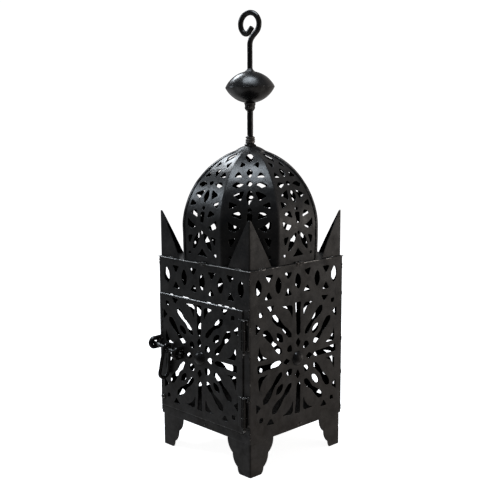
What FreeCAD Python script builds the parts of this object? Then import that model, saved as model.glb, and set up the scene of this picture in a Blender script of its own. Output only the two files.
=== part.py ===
import FreeCAD, Part
import math
import os
import Sketcher
from FreeCAD import Placement, Rotation, Vector

# Moroccan pierced-sheet lantern: a square body with a hinged, latched door,
# four horns round an eight-sided dome, and a bead and hanging loop on a stem.
# Millimetres, +Z up, origin on the resting plane under the middle of the body.
# The door faces -Y.

os.makedirs("parts", exist_ok=True)
doc = FreeCAD.newDocument("lantern")
sizes = doc.addObject("Spreadsheet::Sheet", "Sizes")

DRIVING = [
    # sheet metal body
    ("body_width", 150.0, "outer width of the square body"),
    ("gauge", 1.0, "thickness of every sheet"),
    ("panel_bottom", 38.5, "height of the side panels' lower edge"),
    ("deck_level", 226.4, "height of the panels' upper edge, under the roof deck"),
    ("deck_overhang", 1.0, "how far the roof deck stands past the panels"),
    ("rosette_level", 119.5, "height of the rosette's centre on a side panel"),
    ("rosette_half", 63.5, "rosette centre to the outer end of its slots"),
    ("frieze_level", 207.0, "height of the middle of the upper row of holes"),
    ("frieze_pitch", 30.5, "spacing of the tall lenses in the upper row"),
    ("jamb_width", 6.0, "width of the upright strip on the doorway's latch side"),
    ("hinge_jamb_width", 12.0, "width of the upright strip on its hinge side"),
    ("sill_top", 48.0, "upper edge of the strip under the doorway"),
    ("transom_bottom", 185.2, "lower edge of the strip over the doorway"),
    ("floor_top", 47.5, "upper face of the floor plate"),
    # feet and horns
    ("foot_gauge", 1.2, "thickness of a foot"),
    ("horn_inset", 2.5, "roof deck edge to a horn's outer face"),
    ("horn_width", 33.0, "width of a horn's leaf at its base"),
    ("horn_height", 53.0, "height of a horn"),
    ("horn_tip", 2.0, "width of the blunt tip of a horn's leaf"),
    # dome
    ("dome_belly", 74.8, "axis to the flat of a gore at its widest"),
    ("belly_level", 264.4, "height of the widest part of the dome"),
    ("upper_radius", 88.0, "radius of the gore's profile above the belly"),
    ("lower_radius", 1000.0, "radius of the gore's profile below the belly"),
    ("dome_top_angle", 70.5, "turn of the upper profile from belly to top, degrees"),
    ("cap_radius", 17.7, "radius of the cap over the gores' tops"),
    ("cap_rim", 347.42, "height of the cap's lower rim"),
    ("cap_rise", 7.1, "rise of the cap's outer face above its rim"),
    # stem, bead and loop
    ("stem_diameter", 6.0, "diameter of the stem and its loop"),
    ("sleeve_radius", 3.65, "outside radius of the sleeve on the lower stem"),
    ("stem_foot", 344.0, "height of the stem's lower end, inside the dome"),
    ("loop_radius", 12.4, "centreline radius of the hanging loop"),
    ("loop_level", 488.0, "height of the loop's centre"),
    ("loop_turn", 11.0, "turn of the loop's plane about the stem, degrees"),
    ("bead_radius", 27.85, "radius of the bead at its seam"),
    ("bead_half", 17.5, "height of one pressed bowl of the bead"),
    ("bead_level", 419.0, "height of the bead's seam"),
    ("bead_lean", 1.6, "lean of the bead on the stem, degrees"),
    ("bowl_gauge", 0.8, "thickness of a pressed bowl or boss"),
    ("bore_play", 0.05, "radial play of a pressed-on or pinned piece"),
    ("boss_radius", 8.3, "radius of the domed boss in a rosette"),
    ("boss_rise", 5.4, "rise of that boss"),
    # door and hinges
    ("door_left", -74.6, "door edge on the latch side"),
    ("door_right", 65.5, "door edge on the hinge side"),
    ("door_bottom", 48.5, "lower edge of the door"),
    ("door_top", 184.7, "upper edge of the door"),
    ("door_gap", 0.4, "space between the door and the front frame"),
    ("door_rosette_level", 118.8, "height of the rosette's centre on the door"),
    ("door_rosette_half", 60.5, "that centre to the outer end of the door's slots"),
    ("hinge_x", 68.5, "hinge axis across the front"),
    ("hinge_y", -78.1, "hinge axis in front of the body"),
    ("knuckle_radius", 2.75, "outside radius of the hinge barrel"),
    ("knuckle_pitch", 11.0, "length of one knuckle with its gap"),
    ("knuckle_gap", 0.3, "gap between two knuckles"),
    ("lower_hinge", 57.0, "height of the lower hinge's lower end"),
    ("upper_hinge", 142.0, "height of the upper hinge's lower end"),
    ("pin_radius", 1.5, "radius of a hinge pin"),
    ("barrel_reach", 3.2, "hinge axis to the frame leaf and to the end of its tabs"),
    ("door_leaf_width", 5.0, "width of a hinge's plate on the door"),
    ("leaf_margin", 1.0, "how far a door leaf stays inside the door's edge"),
    # latch
    ("bolt_level", 125.0, "height of the sliding bolt at its keeper"),
    ("bolt_tilt", 7.0, "drop of the bolt toward the door's middle, degrees"),
    ("bolt_y", -83.4, "bolt axis in front of the body"),
    ("bolt_radius", 2.0, "radius of the sliding bolt"),
    ("eye_radius", 5.0, "bend radius of the two staples the bolt runs through"),
    ("eye_wire", 2.2, "radius of the staples' wire"),
    ("keeper_x", -77.2, "staple on the body's corner"),
    ("guide_x", -35.0, "staple on the door"),
    ("pull_x", -54.0, "place of the ring pull along the bolt"),
    ("pull_wire", 2.0, "radius of the ring pull's wire"),
    ("pull_drop", 29.0, "distance between the ring pull's two bend centres"),
    ("pull_bottom", 6.4, "bend radius at the bottom of the ring pull"),
    ("pull_lean", 3.2, "lean of the ring pull where it rests, degrees"),
    ("bolt_end", -84.0, "the bolt's outer end, past the keeper"),
    ("bolt_shank", 54.5, "length of the bolt up to its head"),
]
for row, (alias, value, meaning) in enumerate(DRIVING, start=1):
    sizes.set(f"A{row}", meaning)
    sizes.set(f"B{row}", str(value))
    sizes.setAlias(f"B{row}", alias)
doc.recompute()

nodes = []


def size(alias):
    """A driving dimension as a number."""
    return float(sizes.get(alias))


def register(obj, label):
    """Give a finished sub-part its own label and list it for export."""
    obj.Label = label
    nodes.append(obj)
    return obj


# ---------------------------------------------------------------- outlines

def curve(start, end, bulge):
    """A straight or arched edge: bulge is twice the rise over the chord."""
    if bulge == 0:
        return Part.LineSegment(start, end)
    chord = end - start
    side = Vector(chord.y, -chord.x, 0)
    middle = (start + end) * 0.5 + side * (bulge * 0.5)
    return Part.Arc(start, middle, end)


def outline(points, turn=0.0, mirror=False, shift=(0.0, 0.0), scale=1.0):
    """Closed outline edges from (x, y) or (x, y, bulge) points."""
    placed = []
    cosine = math.cos(math.radians(turn))
    sine = math.sin(math.radians(turn))
    for point in points:
        x, y = point[0] * scale, point[1] * scale
        bulge = point[2] if len(point) > 2 else 0.0
        if mirror:
            y, bulge = -y, -bulge
        placed.append((
            Vector(cosine * x - sine * y + shift[0], sine * x + cosine * y + shift[1], 0),
            bulge,
        ))
    following = placed[1:] + placed[:1]
    return [curve(a, b, bulge) for (a, bulge), (b, unused) in zip(placed, following)]


def leaf(length, width):
    """A pointed oval along X, centred on the origin."""
    return [(-length / 2, 0, width / length), (length / 2, 0, width / length)]


# One petal group of the rosette. X runs out along a petal slot, and Y across.
KITE = [(12.8, 0), (18.8, 3.8), (24, 0), (18.8, -3.8)]
SLOT = [(26.6, 0), (30, 3.0), (50, 3.2), (63.5, 4.2), (63.5, -4.2), (50, -3.2), (30, -3.0)]
CRESCENT = [(47.5, 9.5), (60, 9), (62.5, 12), (61.5, 25, -0.3)]
EDGE_TRIANGLE = [(65.6, 38), (58.6, 43.8), (65.6, 49.6)]
# On the diagonal, X runs out along the diagonal itself.
DROP = [(14, 0, 0.2), (20.5, -4.2, 0.3), (23, 0, 0.3), (20.5, 4.2, 0.2)]
CLUB = [
    (26.5, 11), (30, 7.8), (37, 8.2), (45, 9), (55, 6), (63, 5.6), (67.2, 9.6), (63.5, 13.6),
    (55, 14), (46, 12.8), (37, 14.2), (30, 13.9),
]
CORNER_DIAMOND = [(78.5, 0), (82, 3.3), (86, 0), (82, -3.3)]
LEAF_PLACE = 41.5
LEAF_SIZE = (15.0, 7.2)
# The upper row of holes, about the middle of one bay.
LENS_HEIGHT = 20.0
LENS_WIDTH = 8.6
TIP_TRIANGLE = [(-5.2, 11.9), (5.2, 11.9), (0, 4.6)]
FOOT_TRIANGLE = [(-5, -13.5), (5, -13.5), (0, -6)]


def rosette_quarter(half):
    """The eleven holes in a quarter of the rosette."""
    scale = half / 63.5
    holes = [outline(KITE, scale=scale), outline(SLOT, scale=scale)]
    for mirror in (False, True):
        holes.append(outline(CRESCENT, mirror=mirror, scale=scale))
        holes.append(outline(EDGE_TRIANGLE, mirror=mirror, scale=scale))
        holes.append(outline(CLUB, turn=45, mirror=mirror, scale=scale))
    holes.append(outline(DROP, turn=45, scale=scale))
    along = LEAF_PLACE * scale * math.sqrt(0.5)
    holes.append(outline(leaf(*LEAF_SIZE), turn=45, shift=(along, along), scale=scale))
    holes.append(outline(CORNER_DIAMOND, turn=45, scale=scale))
    return holes


def frieze_holes(level):
    """The upper row: tall lenses with a triangle above and below between them."""
    pitch = size("frieze_pitch")
    holes = []
    for bay in range(-2, 3):
        holes.append(outline(leaf(LENS_HEIGHT, LENS_WIDTH), turn=90, shift=(bay * pitch, level)))
    for bay in range(-2, 2):
        middle = ((bay + 0.5) * pitch, level)
        holes.append(outline(TIP_TRIANGLE, shift=middle))
        holes.append(outline(FOOT_TRIANGLE, shift=middle))
    return holes


# ---------------------------------------------------------------- builders

def plane_of(body, role):
    """One of a body's own origin planes or axes."""
    return next(f for f in body.Origin.OriginFeatures if f.Role == role)


def add_sketch(body, name, role):
    sketch = body.newObject("Sketcher::SketchObject", name)
    sketch.AttachmentSupport = [(plane_of(body, role), "")]
    sketch.MapMode = "FlatFace"
    return sketch


def add_loops(sketch, loops):
    """Put closed outlines in a sketch, each edge blocked where it is drawn."""
    for loop in loops:
        first = sketch.GeometryCount
        sketch.addGeometry(loop, False)
        sketch.addConstraint([Sketcher.Constraint("Block", first + k) for k in range(len(loop))])


def add_rectangle(sketch, left, right, bottom, top):
    """A rectangle whose four sides are bound to expressions."""
    values = [float(sketch.evalExpression(side)) for side in (left, right, bottom, top)]
    corners = [Vector(values[x], values[y], 0) for x, y in ((0, 2), (1, 2), (1, 3), (0, 3))]
    sketch.addGeometry([Part.LineSegment(corners[k], corners[(k + 1) % 4]) for k in range(4)], False)
    for edge, kind in enumerate(("Horizontal", "Vertical", "Horizontal", "Vertical")):
        sketch.addConstraint(Sketcher.Constraint("Coincident", edge, 2, (edge + 1) % 4, 1))
        sketch.addConstraint(Sketcher.Constraint(kind, edge))
    bindings = (
        ("DistanceX", 0, values[0], left), ("DistanceX", 1, values[1], right),
        ("DistanceY", 0, values[2], bottom), ("DistanceY", 2, values[3], top),
    )
    for kind, edge, value, expression in bindings:
        index = sketch.addConstraint(Sketcher.Constraint(kind, -1, 1, edge, 1, value))
        sketch.setExpression(f"Constraints[{index}]", expression)


def pad(body, sketch, name, length, reverse=False):
    feature = body.newObject("PartDesign::Pad", name)
    feature.Profile = sketch
    feature.setExpression("Length", length)
    feature.Reversed = reverse
    return feature


def cut_through(body, sketch, name):
    """Cut a sketch's loops right through the sheet, and prove that metal went."""
    doc.recompute()
    before = body.Shape.Volume
    feature = body.newObject("PartDesign::Pocket", name)
    feature.Profile = sketch
    feature.Type = "ThroughAll"
    feature.Midplane = True
    doc.recompute()
    if body.Shape.Volume >= before:
        raise RuntimeError(f"{name} cuts nothing")
    return feature


def pierced_panel(label, edges, rosette=None, frieze=None):
    """A flat sheet on its body's XY plane, outer face up, with its holes."""
    body = doc.addObject("PartDesign::Body", label)
    blank = add_sketch(body, label + "_blank", "XY_Plane")
    add_rectangle(blank, *edges)
    pad(body, blank, label + "_sheet", "Sizes.gauge")
    if frieze is not None:
        row = add_sketch(body, label + "_frieze", "XY_Plane")
        add_loops(row, frieze_holes(frieze))
        cut_through(body, row, label + "_frieze_cut")
    if rosette is not None:
        quarter = add_sketch(body, label + "_quarter", "XY_Plane")
        add_loops(quarter, rosette_quarter(rosette))
        petals = cut_through(body, quarter, label + "_quarter_cut")
        around = body.newObject("PartDesign::PolarPattern", label + "_rosette")
        around.Originals = [petals]
        around.Axis = (quarter, ["N_Axis"])
        around.Angle = 360
        around.Occurrences = 4
        body.Tip = around
    return register(body, label)


def face_placement(quarter_turns, across, depth, level):
    """Stand a panel up facing out: 0 front, 1 right, 2 rear, 3 left."""
    facing = Rotation(Vector(0, 0, 1), 90 * quarter_turns)
    upright = Rotation(Vector(1, 0, 0), 90)
    return Placement(facing.multVec(Vector(across, -depth, level)), facing.multiply(upright))


def folded_corner(label, leaf_outline, gauge):
    """Two equal leaves of sheet folded at a right angle, fold on the Z axis."""
    body = doc.addObject("PartDesign::Body", label)
    for name, role, reverse in (("leaf_x", "XZ_Plane", True), ("leaf_y", "YZ_Plane", False)):
        sketch = add_sketch(body, f"{label}_{name}", role)
        add_loops(sketch, [outline(leaf_outline)])
        pad(body, sketch, f"{label}_{name}_pad", gauge, reverse)
    doc.recompute()
    return register(body, label)


def turned(label, profile, position, rotation=None):
    """A piece turned about its own Z axis from a half profile in (radius, height)."""
    body = doc.addObject("PartDesign::Body", label)
    sketch = add_sketch(body, label + "_profile", "XZ_Plane")
    add_loops(sketch, [outline(profile)])
    feature = body.newObject("PartDesign::Revolution", label + "_turn")
    feature.Profile = sketch
    feature.ReferenceAxis = (sketch, ["V_Axis"])
    feature.Angle = 360
    body.Placement = Placement(Vector(*position), rotation or Rotation())
    return register(body, label)


def bent_rod(label, path, radius, start, direction, placement):
    """Round wire swept along a path in its own frame."""
    spine = doc.addObject("Part::Feature", label + "_path")
    spine.Shape = Part.Wire([edge.toShape() for edge in path])
    section = doc.addObject("Part::Circle", label + "_section")
    section.setExpression("Radius", radius)
    section.Placement = Placement(start, Rotation(Vector(0, 0, 1), direction))
    rod = doc.addObject("Part::Sweep", label)
    rod.Sections = [section]
    rod.Spine = (spine, [])
    rod.Solid = True
    rod.Frenet = True
    rod.Placement = placement
    return register(rod, label)


def box(name, expressions):
    """A Part::Box from bound Length, Width, Height and x, y, z expressions."""
    solid = doc.addObject("Part::Box", name)
    keys = ("Length", "Width", "Height", ".Placement.Base.x", ".Placement.Base.y", ".Placement.Base.z")
    for key, expression in zip(keys, expressions):
        solid.setExpression(key, expression)
    return solid


def cylinder(name, radius, height, at):
    """An upright Part::Cylinder bound to expressions."""
    solid = doc.addObject("Part::Cylinder", name)
    solid.setExpression("Radius", radius)
    solid.setExpression("Height", height)
    for key, expression in zip("xyz", at):
        solid.setExpression(f".Placement.Base.{key}", expression)
    return solid


def fuse(name, shapes):
    joined = doc.addObject("Part::MultiFuse", name)
    joined.Shapes = shapes
    return joined


def cut(name, base, tool):
    result = doc.addObject("Part::Cut", name)
    result.Base = base
    result.Tool = tool
    return result


# ---------------------------------------------------------------- body panels

HALF = size("body_width") / 2
INNER = HALF - size("gauge")


def side_panels():
    """Rear sheet full width, the two sides between it and the front."""
    level = size("rosette_level")
    upright = ("Sizes.panel_bottom - Sizes.rosette_level", "Sizes.deck_level - Sizes.rosette_level")
    full = ("-Sizes.body_width / 2", "Sizes.body_width / 2")
    between = ("Sizes.gauge - Sizes.body_width / 2", "Sizes.body_width / 2 - Sizes.gauge")
    frieze = size("frieze_level") - level
    for label, facing, width in (
        ("right_panel", 1, between), ("rear_panel", 2, full), ("left_panel", 3, between),
    ):
        panel = pierced_panel(label, width + upright, size("rosette_half"), frieze)
        panel.Placement = face_placement(facing, 0, INNER, level)


def front_frame():
    """Transom, sill and two jambs round the doorway."""
    full = ("-Sizes.body_width / 2", "Sizes.body_width / 2")
    transom = pierced_panel(
        "front_transom", full + ("Sizes.transom_bottom", "Sizes.deck_level"), frieze=size("frieze_level"))
    sill = pierced_panel("front_sill", full + ("Sizes.panel_bottom", "Sizes.sill_top"))
    upright = ("Sizes.sill_top", "Sizes.transom_bottom")
    left = ("-Sizes.body_width / 2", "Sizes.jamb_width - Sizes.body_width / 2")
    right = ("Sizes.body_width / 2 - Sizes.hinge_jamb_width", "Sizes.body_width / 2")
    latch_jamb = pierced_panel("latch_jamb", left + upright)
    hinge_jamb = pierced_panel("hinge_jamb", right + upright)
    for strip in (transom, sill, latch_jamb, hinge_jamb):
        strip.Placement = face_placement(0, 0, INNER, 0)


def floor_and_deck():
    """Floor plate on the feet, and the roof deck with its eight-sided opening."""
    inside = ("Sizes.gauge - Sizes.body_width / 2", "Sizes.body_width / 2 - Sizes.gauge")
    floor = pierced_panel("floor_plate", inside + inside)
    floor.Placement.Base = Vector(0, 0, size("floor_top") - size("gauge"))
    reach = ("-Sizes.body_width / 2 - Sizes.deck_overhang", "Sizes.body_width / 2 + Sizes.deck_overhang")
    deck = doc.addObject("PartDesign::Body", "roof_deck")
    blank = add_sketch(deck, "roof_deck_blank", "XY_Plane")
    add_rectangle(blank, *(reach + reach))
    pad(deck, blank, "roof_deck_sheet", "Sizes.gauge")
    opening = add_sketch(deck, "roof_deck_octagon", "XY_Plane")
    ledge = 3.0
    corner = (size("dome_belly") - ledge) / math.cos(math.pi / 8)
    points = []
    for side in range(8):
        angle = math.radians(45 * side + 22.5)
        points.append((corner * math.cos(angle), corner * math.sin(angle)))
    add_loops(opening, [outline(points)])
    cut_through(deck, opening, "roof_deck_opening")
    deck.Placement.Base = Vector(0, 0, size("deck_level"))
    register(deck, "roof_deck")


CORNERS = (("front_left", 0), ("front_right", 1), ("rear_right", 2), ("rear_left", 3))


def feet():
    """Folded feet behind the panels' lower edges, each side cut in three lobes."""
    top = size("floor_top") - size("gauge")
    shape = [
        (0, 0), (17.1, 0, 0.2), (20.0, 8), (20.9, 8, 0.25), (27.6, 22.5), (28.6, 22.5, 0.25),
        (35.5, size("panel_bottom")), (35.5, top), (0, top),
    ]
    for corner, turns in CORNERS:
        foot = folded_corner(f"foot_{corner}", shape, "Sizes.foot_gauge")
        facing = Rotation(Vector(0, 0, 1), 90 * turns)
        foot.Placement = Placement(facing.multVec(Vector(-INNER, -INNER, 0)), facing)


def horns():
    """Plain folded triangles standing on the roof deck's corners."""
    width, height, tip = size("horn_width"), size("horn_height"), size("horn_tip")
    shape = [(0, 0), (width, 0), (tip, height), (0, height)]
    outer = HALF + size("deck_overhang") - size("horn_inset")
    for corner, turns in CORNERS:
        horn = folded_corner(f"horn_{corner}", shape, "Sizes.gauge")
        facing = Rotation(Vector(0, 0, 1), 90 * turns)
        base = facing.multVec(Vector(-outer, -outer, size("deck_level") + size("gauge")))
        horn.Placement = Placement(base, facing)


# ---------------------------------------------------------------- dome

DOME_BASE = size("deck_level") + size("gauge")
LOWER_TURN = math.asin((size("belly_level") - DOME_BASE) / size("lower_radius"))
LOWER_LENGTH = size("lower_radius") * LOWER_TURN

# Holes of a gore, as (across, up the sheet) from the middle of its foot.
GORE_MIDDLE_HOLES = [
    [(-8, 8.5), (8, 8.5, -0.15), (0, 16.5, -0.15)],
    [(0, 31.8), (1.4, 34), (0, 36), (-1.4, 34)],
    [(-2, 45.5), (2, 45.5), (2.8, 56.5), (-2.8, 56.5)],
    [(0, 58.6), (2.2, 60.2), (0, 62.4), (-2.2, 60.2)],
    [(0, 66.5), (3.4, 74, 0.15), (0, 82, 0.15), (-3.4, 74)],
    [(0, 87.6), (3, 90.4), (0, 93.4), (-3, 90.4)],
    [(0, 98.5), (3, 104.8), (0, 110.5), (-3, 104.8)],
    [(0, 121), (4.4, 130.5), (0, 140.8), (-4.4, 130.5)],
]
GORE_SIDE_HOLES = [
    [(4.2, 33.5, 0.3), (15, 15, 0.3)],
    [(15.5, 30), (22.5, 29), (20.8, 21)],
    [(10, 41.5), (15.5, 38), (22.5, 40.5), (23, 48.5, -0.15)],
    [(11, 58), (8.8, 51), (19, 54.8, 0.2)],
    [(14, 65.6), (21.6, 62.4), (21.4, 69)],
    [(6.2, 81), (10, 71, -0.1), (17.8, 76, 0.1)],
    [(6.6, 89.5), (14, 85.4), (18.6, 88), (14, 92)],
    [(8, 99), (16, 99), (12, 105.5)],
    [(5.2, 117.3), (9.4, 112.6), (9.2, 121.2)],
]
RIVET_HOLE = (21.0, 10.0, 1.3)


def gore_point(up):
    """Outer face of a gore's middle: (axis distance, height, slope in radians)."""
    belly, level = size("dome_belly"), size("belly_level")
    if up < LOWER_LENGTH:
        radius = size("lower_radius")
        slope = (up - LOWER_LENGTH) / radius
    else:
        radius = size("upper_radius")
        slope = (up - LOWER_LENGTH) / radius
    centre = belly - radius
    return centre + radius * math.cos(slope), level + radius * math.sin(slope), slope


def gore_blank():
    """The curved sheet before piercing, facing +X, trimmed to an eighth."""
    thick = size("gauge")
    belly, level = size("dome_belly"), size("belly_level")
    total = LOWER_LENGTH + size("upper_radius") * math.radians(size("dome_top_angle"))

    def at(up, depth):
        axis, height, slope = gore_point(up)
        return Vector(axis - depth * math.cos(slope), 0, height - depth * math.sin(slope))

    edges = []
    for depth in (0.0, thick):
        lower = Part.Arc(at(0, depth), at(LOWER_LENGTH / 2, depth), at(LOWER_LENGTH, depth))
        middle = (LOWER_LENGTH + total) / 2
        upper = Part.Arc(at(LOWER_LENGTH, depth), at(middle, depth), at(total, depth))
        edges += [lower.toShape(), upper.toShape()]
    edges.append(Part.makeLine(at(0, 0), at(0, thick)))
    edges.append(Part.makeLine(at(total, 0), at(total, thick)))
    profile = Part.Face(Part.Wire(Part.__sortEdges__(edges)))
    sheet = profile.extrude(Vector(0, belly, 0))
    sheet.translate(Vector(0, -belly / 2, 0))
    reach = belly * 1.2
    spread = reach * math.tan(math.pi / 8)
    eighth = Part.makePolygon([
        Vector(0, 0, 0), Vector(reach, -spread, 0), Vector(reach, spread, 0), Vector(0, 0, 0),
    ])
    wedge = Part.Face(eighth).extrude(Vector(0, 0, level * 2))
    return sheet.common(wedge)


def gore_cutter(points):
    """A prism through the gore, square to the sheet at the hole's own height."""
    up = sum(point[1] for point in points) / len(points)
    axis, height, slope = gore_point(up)
    local = [(point[0], point[1] - up) + tuple(point[2:]) for point in points]
    wire = Part.Wire([edge.toShape() for edge in outline(local)])
    depth = 6.0
    prism = Part.Face(wire).extrude(Vector(0, 0, 2 * depth))
    prism.translate(Vector(0, 0, -depth))
    # local X across the gore, local Y up the sheet, local Z out of it
    frame = Rotation(
        Vector(0, 1, 0), Vector(-math.sin(slope), 0, math.cos(slope)),
        Vector(math.cos(slope), 0, math.sin(slope)), "ZXY")
    prism.Placement = Placement(Vector(axis, 0, height), frame).multiply(prism.Placement)
    return prism


def dome_gores():
    """Eight identical pierced gores round the axis."""
    cutters = [gore_cutter(points) for points in GORE_MIDDLE_HOLES]
    for points in GORE_SIDE_HOLES:
        other = [(-p[0], p[1]) + tuple(-b for b in p[2:]) for p in points]
        cutters += [gore_cutter(points), gore_cutter(other)]
    across, up, radius = RIVET_HOLE
    for side in (-1, 1):
        axis, height, slope = gore_point(up)
        cutters.append(Part.makeCylinder(
            radius, 12.0, Vector(axis - 6.0, side * across, height), Vector(1, 0, 0)))
    pierced = gore_blank().cut(cutters)
    solid = pierced.Solids[0]
    names = ("right", "rear_right", "rear", "rear_left", "left", "front_left", "front", "front_right")
    for turn, name in enumerate(names):
        gore = doc.addObject("Part::Feature", f"gore_{name}")
        gore.Shape = solid
        gore.Placement = Placement(Vector(), Rotation(Vector(0, 0, 1), 45 * turn))
        register(gore, f"gore_{name}")


# ---------------------------------------------------------------- finial

def spherical_arc(radius, rise):
    """Sphere radius of a shallow cap with the given rim radius and rise."""
    return (radius ** 2 + rise ** 2) / (2 * rise)


def bowl_profile(rim, rise, hole, thick):
    """Half profile of a pressed spherical bowl, rim at height 0, crown up."""
    sphere = spherical_arc(rim, rise)
    centre = rise - sphere

    def height(at, radius):
        return centre + math.sqrt(radius ** 2 - at ** 2)

    inner = sphere - thick
    inner_rim = math.sqrt(inner ** 2 - centre ** 2)

    def bulge(a, b, radius):
        half = math.dist(a, b) / 2
        return (radius - math.sqrt(radius ** 2 - half ** 2)) / half

    outer_start, outer_end = (rim, 0.0), (hole, height(hole, sphere))
    inner_start, inner_end = (hole, height(hole, inner)), (inner_rim, 0.0)
    return [
        outer_start + (bulge(outer_start, outer_end, sphere),), outer_end,
        inner_start + (-bulge(inner_start, inner_end, inner),), inner_end,
    ]


def finial():
    """Cap, collars, two-bowl bead and the stem bent into the hanging loop."""
    stem = size("stem_diameter") / 2
    bore = stem + size("bore_play")
    turned("dome_cap", bowl_profile(size("cap_radius"), size("cap_rise"), bore, size("gauge")),
           (0, 0, size("cap_rim")))
    crown = size("cap_rim") + size("cap_rise")
    ribs = [(bore, 0.05), (6.6, -0.7), (6.3, 0.6, -0.2), (4.5, 2.2, 0.8), (4.5, 4.7, 0.8),
            (4.5, 7.2, 0.8), (4.3, 9.6, -0.2), (bore, 11.2)]
    collar_height = 11.2
    turned("cap_collar", ribs, (0, 0, crown))
    bead_hole = stem + 0.7
    bead = size("bead_radius"), size("bead_half"), bead_hole, size("bowl_gauge")
    toward_lean = Vector(math.sin(math.radians(45)), -math.cos(math.radians(45)), 0)
    lean = Rotation(toward_lean, size("bead_lean"))
    seam = (0, 0, size("bead_level"))
    turned("bead_upper_bowl", bowl_profile(*bead), seam, lean)
    flip = lean.multiply(Rotation(Vector(1, 0, 0), 180))
    turned("bead_lower_bowl", bowl_profile(*bead), seam, flip)
    lump_height = 8.9
    lump = [(bore, 0), (3.8, 0, 0.3), (5.4, 4.2, -0.2), (6.6, lump_height), (bore, lump_height - 0.6)]
    turned("bead_lower_collar", lump, (0, 0, size("bead_level") - size("bead_half") - lump_height))
    sleeve_foot = crown + collar_height
    sleeve_top = size("bead_level") - size("bead_half") - lump_height
    sleeve = size("sleeve_radius")
    tube = [(bore, 0), (sleeve, 0), (sleeve, sleeve_top - sleeve_foot), (bore, sleeve_top - sleeve_foot)]
    turned("stem_sleeve", tube, (0, 0, sleeve_foot))
    fillet = [(bore, 0.3), (5.9, -0.2, -0.2), (bore, 3.3)]
    turned("bead_upper_collar", fillet, (0, 0, size("bead_level") + size("bead_half")))
    hanging_hook(stem)


def hanging_hook(stem):
    """The stem rises, swings out 45 degrees, runs round the loop and curls in."""
    ring, level = size("loop_radius"), size("loop_level")
    swing = 12.0
    eighth = math.sqrt(0.5)

    def on_ring(angle):
        turn = math.radians(angle)
        return Vector(ring * math.cos(turn), 0, level + ring * math.sin(turn))

    tangent = on_ring(-45)
    run = tangent.x / eighth - swing * (1 / eighth - 1)
    swing_end = tangent - Vector(eighth, 0, eighth) * run
    swing_start = Vector(0, 0, swing_end.z - swing * eighth)
    swing_middle = Vector(
        swing * (1 - math.cos(math.pi / 8)), 0, swing_start.z + swing * math.sin(math.pi / 8))
    curl = 5.0
    leave, tip_heading = 228.0, 50.0
    curl_start = on_ring(leave)
    toward = Vector(-math.cos(math.radians(leave)), 0, -math.sin(math.radians(leave)))
    curl_centre = curl_start + toward * curl

    def on_curl(heading):
        turn = math.radians(heading - 90)
        return curl_centre + Vector(math.cos(turn), 0, math.sin(turn)) * curl

    curl_end = on_curl(tip_heading)
    tip = 6.8
    heading = math.radians(tip_heading)
    foot = Vector(0, 0, size("stem_foot"))
    path = [
        Part.LineSegment(foot, swing_start),
        Part.Arc(swing_start, swing_middle, swing_end),
        Part.LineSegment(swing_end, tangent),
        Part.Arc(tangent, on_ring(97.5), curl_start),
        Part.Arc(curl_start, on_curl((tip_heading + leave - 270) / 2), curl_end),
        Part.LineSegment(curl_end, curl_end + Vector(math.cos(heading), 0, math.sin(heading)) * tip),
    ]
    turn = Placement(Vector(), Rotation(Vector(0, 0, 1), size("loop_turn")))
    bent_rod("hanging_hook", path, "Sizes.stem_diameter / 2", foot, Vector(0, 0, 1), turn)


def bosses():
    """Domed bosses over the middle of each rosette."""
    shell = bowl_profile(size("boss_radius"), size("boss_rise"), 0.0, size("bowl_gauge"))
    door_face = HALF + size("door_gap") + size("gauge")
    door_middle = (size("door_left") + size("door_right")) / 2
    level = size("rosette_level")
    for label, facing, across, depth, height in (
        ("right_boss", 1, 0, HALF, level), ("rear_boss", 2, 0, HALF, level),
        ("left_boss", 3, 0, HALF, level),
        ("door_boss", 0, door_middle, door_face, size("door_rosette_level")),
    ):
        boss = turned(label, shell, (0, 0, 0))
        boss.Placement = face_placement(facing, across, depth, height)


# ---------------------------------------------------------------- door

def door():
    """The pierced door, laid over the front frame."""
    middle = (size("door_left") + size("door_right")) / 2
    level = size("door_rosette_level")
    panel = pierced_panel(
        "door_panel",
        ("(Sizes.door_left - Sizes.door_right) / 2", "(Sizes.door_right - Sizes.door_left) / 2",
         "Sizes.door_bottom - Sizes.door_rosette_level", "Sizes.door_top - Sizes.door_rosette_level"),
        size("door_rosette_half"))
    panel.Placement = face_placement(0, middle, HALF + size("door_gap"), level)


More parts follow.
